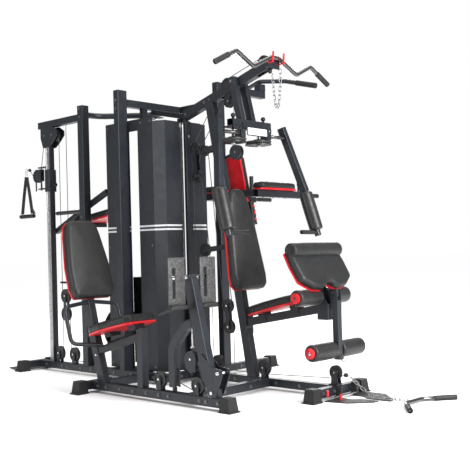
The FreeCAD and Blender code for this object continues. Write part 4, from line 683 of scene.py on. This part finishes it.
facing = leaning(0.288)
pad("leg_back_cushion",
    both_sides([(140, 0), (158, 60), (156, 200), (128, 400), (112, 470), (80, 498)]),
    at(-346, Y_LEG, 595) - facing * 58 * MM, facing, AXIS_Y, 54.0,
    "frame_body", "leg_pads", crown=8.0)
facing = tilted(13.0)
pad("leg_seat_cushion",
    both_sides([(95, 0), (120, 30), (148, 130), (152, 240), (124, 360), (98, 404)]),
    at(84, Y_LEG, 447) + facing * BOARD * MM, facing, AXIS_Y, 46.0,
    "frame_body", "leg_pads", crown=8.0)
facing = leaning(0.175)
pad("press_back_cushion",
    both_sides([(112, 0), (142, 30), (147, 90), (132, 240), (113, 440), (84, 560), (56, 620),
                (34, 642)]),
    at(450 - 0.175 * 613, 0, 613) - facing * 56 * MM, facing, AXIS_Y, 52.0,
    "frame_body", "press_pads", crown=8.0)
facing = tilted(12.4)
pad("press_seat_cushion",
    both_sides([(88, 0), (124, 40), (128, 110), (104, 250), (76, 370), (58, 412), (36, 428)]),
    at(742, 0, 534) + facing * BOARD * MM, facing, AXIS_Y, 46.0,
    "frame_body", "press_pads", crown=7.0)
for side_name, x in (("left", -426.0), ("right", 46.0)):
    pad("dip_cushion_" + side_name,
        both_sides([(44, 0), (54, 60), (54, 300), (44, 372)]),
        at(x, 385, 1275.1), AXIS_Z, AXIS_X, 43.0, "frame_body", "rest_pads", crown=4.0)
facing = Vector((0, 1, math.tan(math.radians(13)))).normalized()
pad("dip_back_cushion",
    [(125, 490), (60, 500), (-60, 500), (-125, 490), (-125, 0), (125, 0)],
    at(-205, 462, 1020) + facing * BOARD * MM, facing, -AXIS_X, 48.0,
    "frame_body", "rest_pads", crown=8.0)
length_dir = Vector((0.99, 0, 0.13)).normalized()
facing = Vector((-length_dir.z, 0, length_dir.x))
pad("rear_rest_cushion",
    both_sides([(280, -100), (292, -60), (292, 60), (280, 100)]),
    at(-1130, -94, 1092), facing, length_dir, 46.0, "frame_body", "rest_pads", crown=7.0)

# arm pad: a slab with a notch at its lower edge, hanging from a fat roll along its top
facing = Vector((0.855, 0, 0.52)).normalized()
pad("preacher_cushion",
    both_sides([(-226, 0), (-236, -90), (-230, -196), (-150, -246), (-78, -256), (-36, -240),
                (0, -212)]),
    at(826, 0, 858) - facing * 56 * MM, facing, AXIS_Y, 46.0,
    "preacher_body", "preacher_pad", crown=6.0, spine=((-120, -110), (120, -110)))


# ======================= foam rolls, grips and straps =======================
SHOULDER = 11.0        # radius rolled at each end of a foam roll, mm
AXLE_BORE = 9.4        # radius of the hole in the rolls on 18 mm axles, mm
TUBE_BORE = 21.4       # radius of the hole in the rolls on the butterfly arms, mm


def roll_profile(length, radius, bore, belly=1.2):
    """Foam sleeve: rounded shoulders, a shallow dish at each end, a slight belly."""
    points = [(3.0, bore), (2.2, bore + 5), (0.4, radius - SHOULDER - 2)]
    for k in range(6):
        a = math.radians(90 * k / 5)
        points.append((SHOULDER * (1 - math.cos(a)) + 0.2,
                       radius - SHOULDER + SHOULDER * math.sin(a)))
    end_points = list(points)
    for k in range(1, 12):
        t = k / 12
        points.append((SHOULDER + (length - 2 * SHOULDER) * t,
                       radius + belly * math.sin(math.pi * t) - 0.3))
    return points + [(length - a, r) for a, r in reversed(end_points)]


def foam_roll(name, start, end, radius, bore, body, node):
    length = (end - start).length / MM
    profile = roll_profile(length, radius, bore)
    piece = turned(name, start, end, profile, FOAM, body, node)


piece = turned("preacher_roll", at(820, -224, 842), at(820, 224, 842),
               roll_profile(448.0, 43.0, 4.0, 0.8), LEATHER,
               "preacher_body", "preacher_pad")
for s, tag in ((-1, "near"), (1, "far")):
    foam_roll("fixed_roll_" + tag, at(862, s * 31, 573), at(862, s * 233, 573), 47, AXLE_BORE,
              "frame_body", "fixed_rollers")
    foam_roll("lever_roll_" + tag, at(955, s * 22, 272), at(955, s * 233, 272), 48, AXLE_BORE,
              "lever_body", "lever_rollers")
    bend, tip = at(449, s * 399, 1220), at(534, s * 414, 938)
    down = (tip - bend).normalized()
    foam_roll("arm_roll_" + tag, bend + down * 8 * MM, bend + down * 262 * MM, 44, TUBE_BORE,
              "arm_" + tag + "_body", "arm_" + tag + "_foam")


TAPE_THICK = 2.6       # thickness of the handle's webbing, mm
TAPE_RIM = 1.2         # width of the webbing's thin selvedge, mm
GRIP_X, GRIP_Z = -1752.0, 1160.0
GRIP_HALF = 92.0       # half the length of the handle's grip, mm
HOOK_Z = 1459.0        # top of the straps, at the snap hook
STRAP_DROP = 281.0     # height from there to the straps' lower ends, mm
STRAP_SPREAD = 62.0    # how far each strap runs outwards on the way, mm


def strap(name, centre_line, width):
    """Flat webbing of the stirrup handle along a line of points, its width along Y."""
    half, inner = width / 2 * MM, (width / 2 - TAPE_RIM) * MM
    rings = []
    for i, point in enumerate(centre_line):
        before = centre_line[max(i - 1, 0)]
        after = centre_line[min(i + 1, len(centre_line) - 1)]
        up = (after - before).normalized().cross(AXIS_Y).normalized() * (TAPE_THICK / 2 * MM)
        rings.append([point - AXIS_Y * half, point - AXIS_Y * inner + up,
                      point + AXIS_Y * inner + up, point + AXIS_Y * half,
                      point + AXIS_Y * inner - up, point - AXIS_Y * inner - up])
    bm = bmesh.new()
    skin_rings(bm, rings)
    new_piece(name, bm, WEBBING, "strap_body", "strap_handle")


for s, tag in ((-1, "left"), (1, "right")):
    line = []
    for k in range(25):
        t = k / 24
        bow = 3.0 * math.sin(math.pi * t)
        line.append(at(GRIP_X + s * (5 + STRAP_SPREAD * t + bow), Y_COL,
                       HOOK_Z - STRAP_DROP * t))
    strap("handle_strap_" + tag, line, 28.0)
strap("handle_loop", [at(GRIP_X + 12 * math.cos(a), Y_COL, HOOK_Z - 1 + 4 * math.sin(a))
                      for a in (math.pi * k / 12 for k in range(13))], 28.0)
strap("handle_tail",
      [at(GRIP_X + 70 + 26 * k / 8, Y_COL, 1212 - 36 * k / 8) for k in range(9)], 24.0)
# grip of the handle: rounded ends with a ribbed length between them
ribs = [(0.0, 6.0), (0.0, 13.0), (2.0, 15.4), (6.0, 15.6)]
ribs += [(8.0 + 168.0 * k / 56, 15.3 if k % 4 < 2 else 14.4) for k in range(57)]
ribs += [(178.0, 15.6), (182.0, 15.4), (184.0, 13.0), (184.0, 6.0)]
turned("handle_grip", at(GRIP_X - GRIP_HALF, Y_COL, GRIP_Z),
       at(GRIP_X + GRIP_HALF, Y_COL, GRIP_Z), ribs,
       RUBBER, "strap_body", "strap_handle")


def cuff():
    """Padded ankle cuff wrapped round the lever's end: a soft band with rolled rims."""
    centre_x, low, high = 974.0, 217.0, 242.5
    half_x, half_y, wall = 25.6, 22.6, 3.6
    squareness = 0.6       # 1 is an ellipse, lower is squarer
    # outline of the band's section: how far out of the wall, and how far up
    section = [(0.0, 0.25), (0.0, 0.75), (0.25, 1.0), (0.75, 1.0),
               (1.0, 0.75), (1.0, 0.25), (0.75, 0.0), (0.25, 0.0)]
    rings = []
    for out, height in section:
        ring = []
        for a in circle(64):
            c, s = math.cos(a), math.sin(a)
            softness = 0.12 * math.sin(5 * a) * (0.3 if out < 0.5 else 1.0)
            reach = softness - wall + wall * out
            x = (half_x + reach) * math.copysign(abs(c) ** squareness, c)
            y = (half_y + reach) * math.copysign(abs(s) ** squareness, s)
            ring.append(at(centre_x + x, y, low + (high - low) * height))
        rings.append(ring)
    bm = bmesh.new()
    skin_rings(bm, rings, joined=True)
    band = new_piece("ankle_band", bm, WEBBING, "lever_body", "ankle_cuff")
    smooth = band.modifiers.new("smooth", "SUBSURF")
    smooth.levels = smooth.render_levels = 1


cuff()


# ======================= shroud stripes =======================
STRIPE_WIDE = 12.0     # height of a band, mm
STRIPE_PROUD = 0.35    # how far its outer face stands off the shroud, mm
STRIPE_CLEAR = 0.05    # how far its inner face stands off the shroud, mm
CHAMFER = (0.41, -0.91)


def stripe(name, corners, height):
    """Thin pale band that follows the shroud's face through the corner points.

    Each corner is x, y and the way out of the shroud there."""
    rise = AXIS_Z * STRIPE_WIDE / 2 * MM
    rings = []
    for x, y, out_x, out_y in corners:
        outer = at(x + out_x * STRIPE_PROUD, y + out_y * STRIPE_PROUD, height)
        inner = at(x + out_x * STRIPE_CLEAR, y + out_y * STRIPE_CLEAR, height)
        rings.append([outer - rise, outer + rise, inner + rise, inner - rise])
    bm = bmesh.new()
    skin_rings(bm, rings)
    new_piece(name, bm, STRIPE, "frame_body", angle=20.0)


for k, height in enumerate((1030.0, 1005.0)):
    stripe("stripe_left_%d" % k, [(-813, -223, 0, -1), (-561, -223, 0, -1)], height)
    stripe("stripe_front_%d" % k,
           [(-473, -223, 0, -1), (-322, -223, 0, -1), (-240, -186, *CHAMFER)], height)
    stripe("stripe_near_%d" % k, [(-240, -186, 1, 0), (-240, -52, 1, 0)], height)
    stripe("stripe_far_%d" % k, [(-240, 40, 1, 0), (-240, 182, 1, 0)], height)


# ======================= label surround =======================
def label_surround():
    """Dark raised rim round the blank plate on the press arm."""
    half_wide, low, high, corner_radius = 83, 1564, 1596, 8
    corners = ((half_wide, high), (-half_wide, high), (-half_wide, low), (half_wide, low))
    # section of the rim: x, and how far outside the plate's edge
    section = ((402.2, -3.0), (406.6, -3.0), (407.4, -1.2), (407.4, 1.0), (406.6, 3.0),
               (402.2, 3.0))
    rings = []
    for x, grow in section:
        radius = corner_radius + grow
        ring = []
        for quarter, (y, z) in enumerate(corners):
            for k in range(7):
                a = math.radians(90 * quarter + 15 * k)
                ring.append(at(x, y + radius * math.cos(a), z + radius * math.sin(a)))
        rings.append(ring)
    bm = bmesh.new()
    skin_rings(bm, rings, joined=True)
    body = frame["nodes"]["press_label"]["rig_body"]
    new_piece("label_rim", bm, COAT, body, angle=30.0)


label_surround()


# ======================= studio =======================
FLOOR_REACH = 60.0     # half the floor's width, m: its edge is below the horizon in every view
LIGHT_TARGET = (0.3, -0.2, 0.9)
WORLD_LIGHT = 0.3      # strength of the white world as a light
WORLD_SEEN = 1.0       # and as the backdrop that the camera sees


def area_light(name, place, power, width, height):
    data = bpy.data.lights.new(name, "AREA")
    data.shape = "RECTANGLE"
    data.size, data.size_y = width, height
    data.energy = power
    lamp = bpy.data.objects.new(name, data)
    lamp.location = place
    ahead = Vector(LIGHT_TARGET) - Vector(place)
    lamp.rotation_euler = ahead.to_track_quat("-Z", "Y").to_euler()
    bpy.context.collection.objects.link(lamp)


def overhead_light():
    """Very wide sun from straight above, so the shadows on the floor are faint."""
    data = bpy.data.lights.new("overhead", "SUN")
    data.energy = 2.7
    data.angle = math.radians(80)
    bpy.context.collection.objects.link(bpy.data.objects.new("overhead", data))


def pale_floor():
    reach = FLOOR_REACH
    corners = [(-reach, -reach, 0), (reach, -reach, 0), (reach, reach, 0), (-reach, reach, 0)]
    mesh = bpy.data.meshes.new("floor")
    mesh.from_pydata(corners, [], [(0, 1, 2, 3)])
    floor = bpy.data.objects.new("floor", mesh)
    bpy.context.collection.objects.link(floor)
    paper = Shader("pale_floor", Specular_IOR_Level=0.15)
    paper.colour(paper.blend(paper.noise(3.0, 4.0), grey(0.86), grey(0.9)))
    paper.roughness(paper.remap(paper.noise(20.0, 3.0), 0.3, 0.7, 0.75, 0.9))
    floor.data.materials.append(paper.mat)


def white_world():
    world = bpy.data.worlds.new("studio_white")
    world.use_nodes = True
    tree = world.node_tree
    background = tree.nodes["Background"]
    background.inputs["Color"].default_value = (1, 1, 1, 1)
    ray = tree.nodes.new("ShaderNodeLightPath")
    strength = tree.nodes.new("ShaderNodeMapRange")
    strength.inputs["To Min"].default_value = WORLD_LIGHT
    strength.inputs["To Max"].default_value = WORLD_SEEN
    tree.links.new(ray.outputs["Is Camera Ray"], strength.inputs["Value"])
    tree.links.new(strength.outputs["Result"], background.inputs["Strength"])
    bpy.context.scene.world = world


def camera():
    """Camera at the photograph's place; the angles are those of its view."""
    azimuth, pitch, roll = (math.radians(a) for a in (43.22, 1.09, -1.607))
    view_dir = Vector((-math.sin(azimuth) * math.cos(pitch),
                       math.cos(azimuth) * math.cos(pitch), math.sin(pitch)))
    right = Vector((math.cos(azimuth), math.sin(azimuth), 0))
    up = right.cross(view_dir)
    image_x = right * math.cos(roll) + up * math.sin(roll)
    image_y = up * math.cos(roll) - right * math.sin(roll)
    data = bpy.data.cameras.new("camera")
    data.lens = 63.63
    data.sensor_width = 36.0
    data.clip_end = 200.0
    cam = bpy.data.objects.new("camera", data)
    turn = Matrix((image_x, image_y, -view_dir)).transposed()
    cam.matrix_world = Matrix.Translation((3.9546, -3.9199, 0.85)) @ turn.to_4x4()
    bpy.context.collection.objects.link(cam)
    bpy.context.scene.camera = cam


pale_floor()
white_world()
area_light("key_right", (5.0, -0.4, 2.4), 420.0, 1.6, 3.0)
area_light("fill_left", (-1.0, -6.0, 2.2), 110.0, 2.5, 3.0)
overhead_light()
area_light("rim_back", (-3.5, 4.5, 3.2), 180.0, 2.5, 2.5)
camera()
bpy.context.scene.view_settings.view_transform = "Standard"
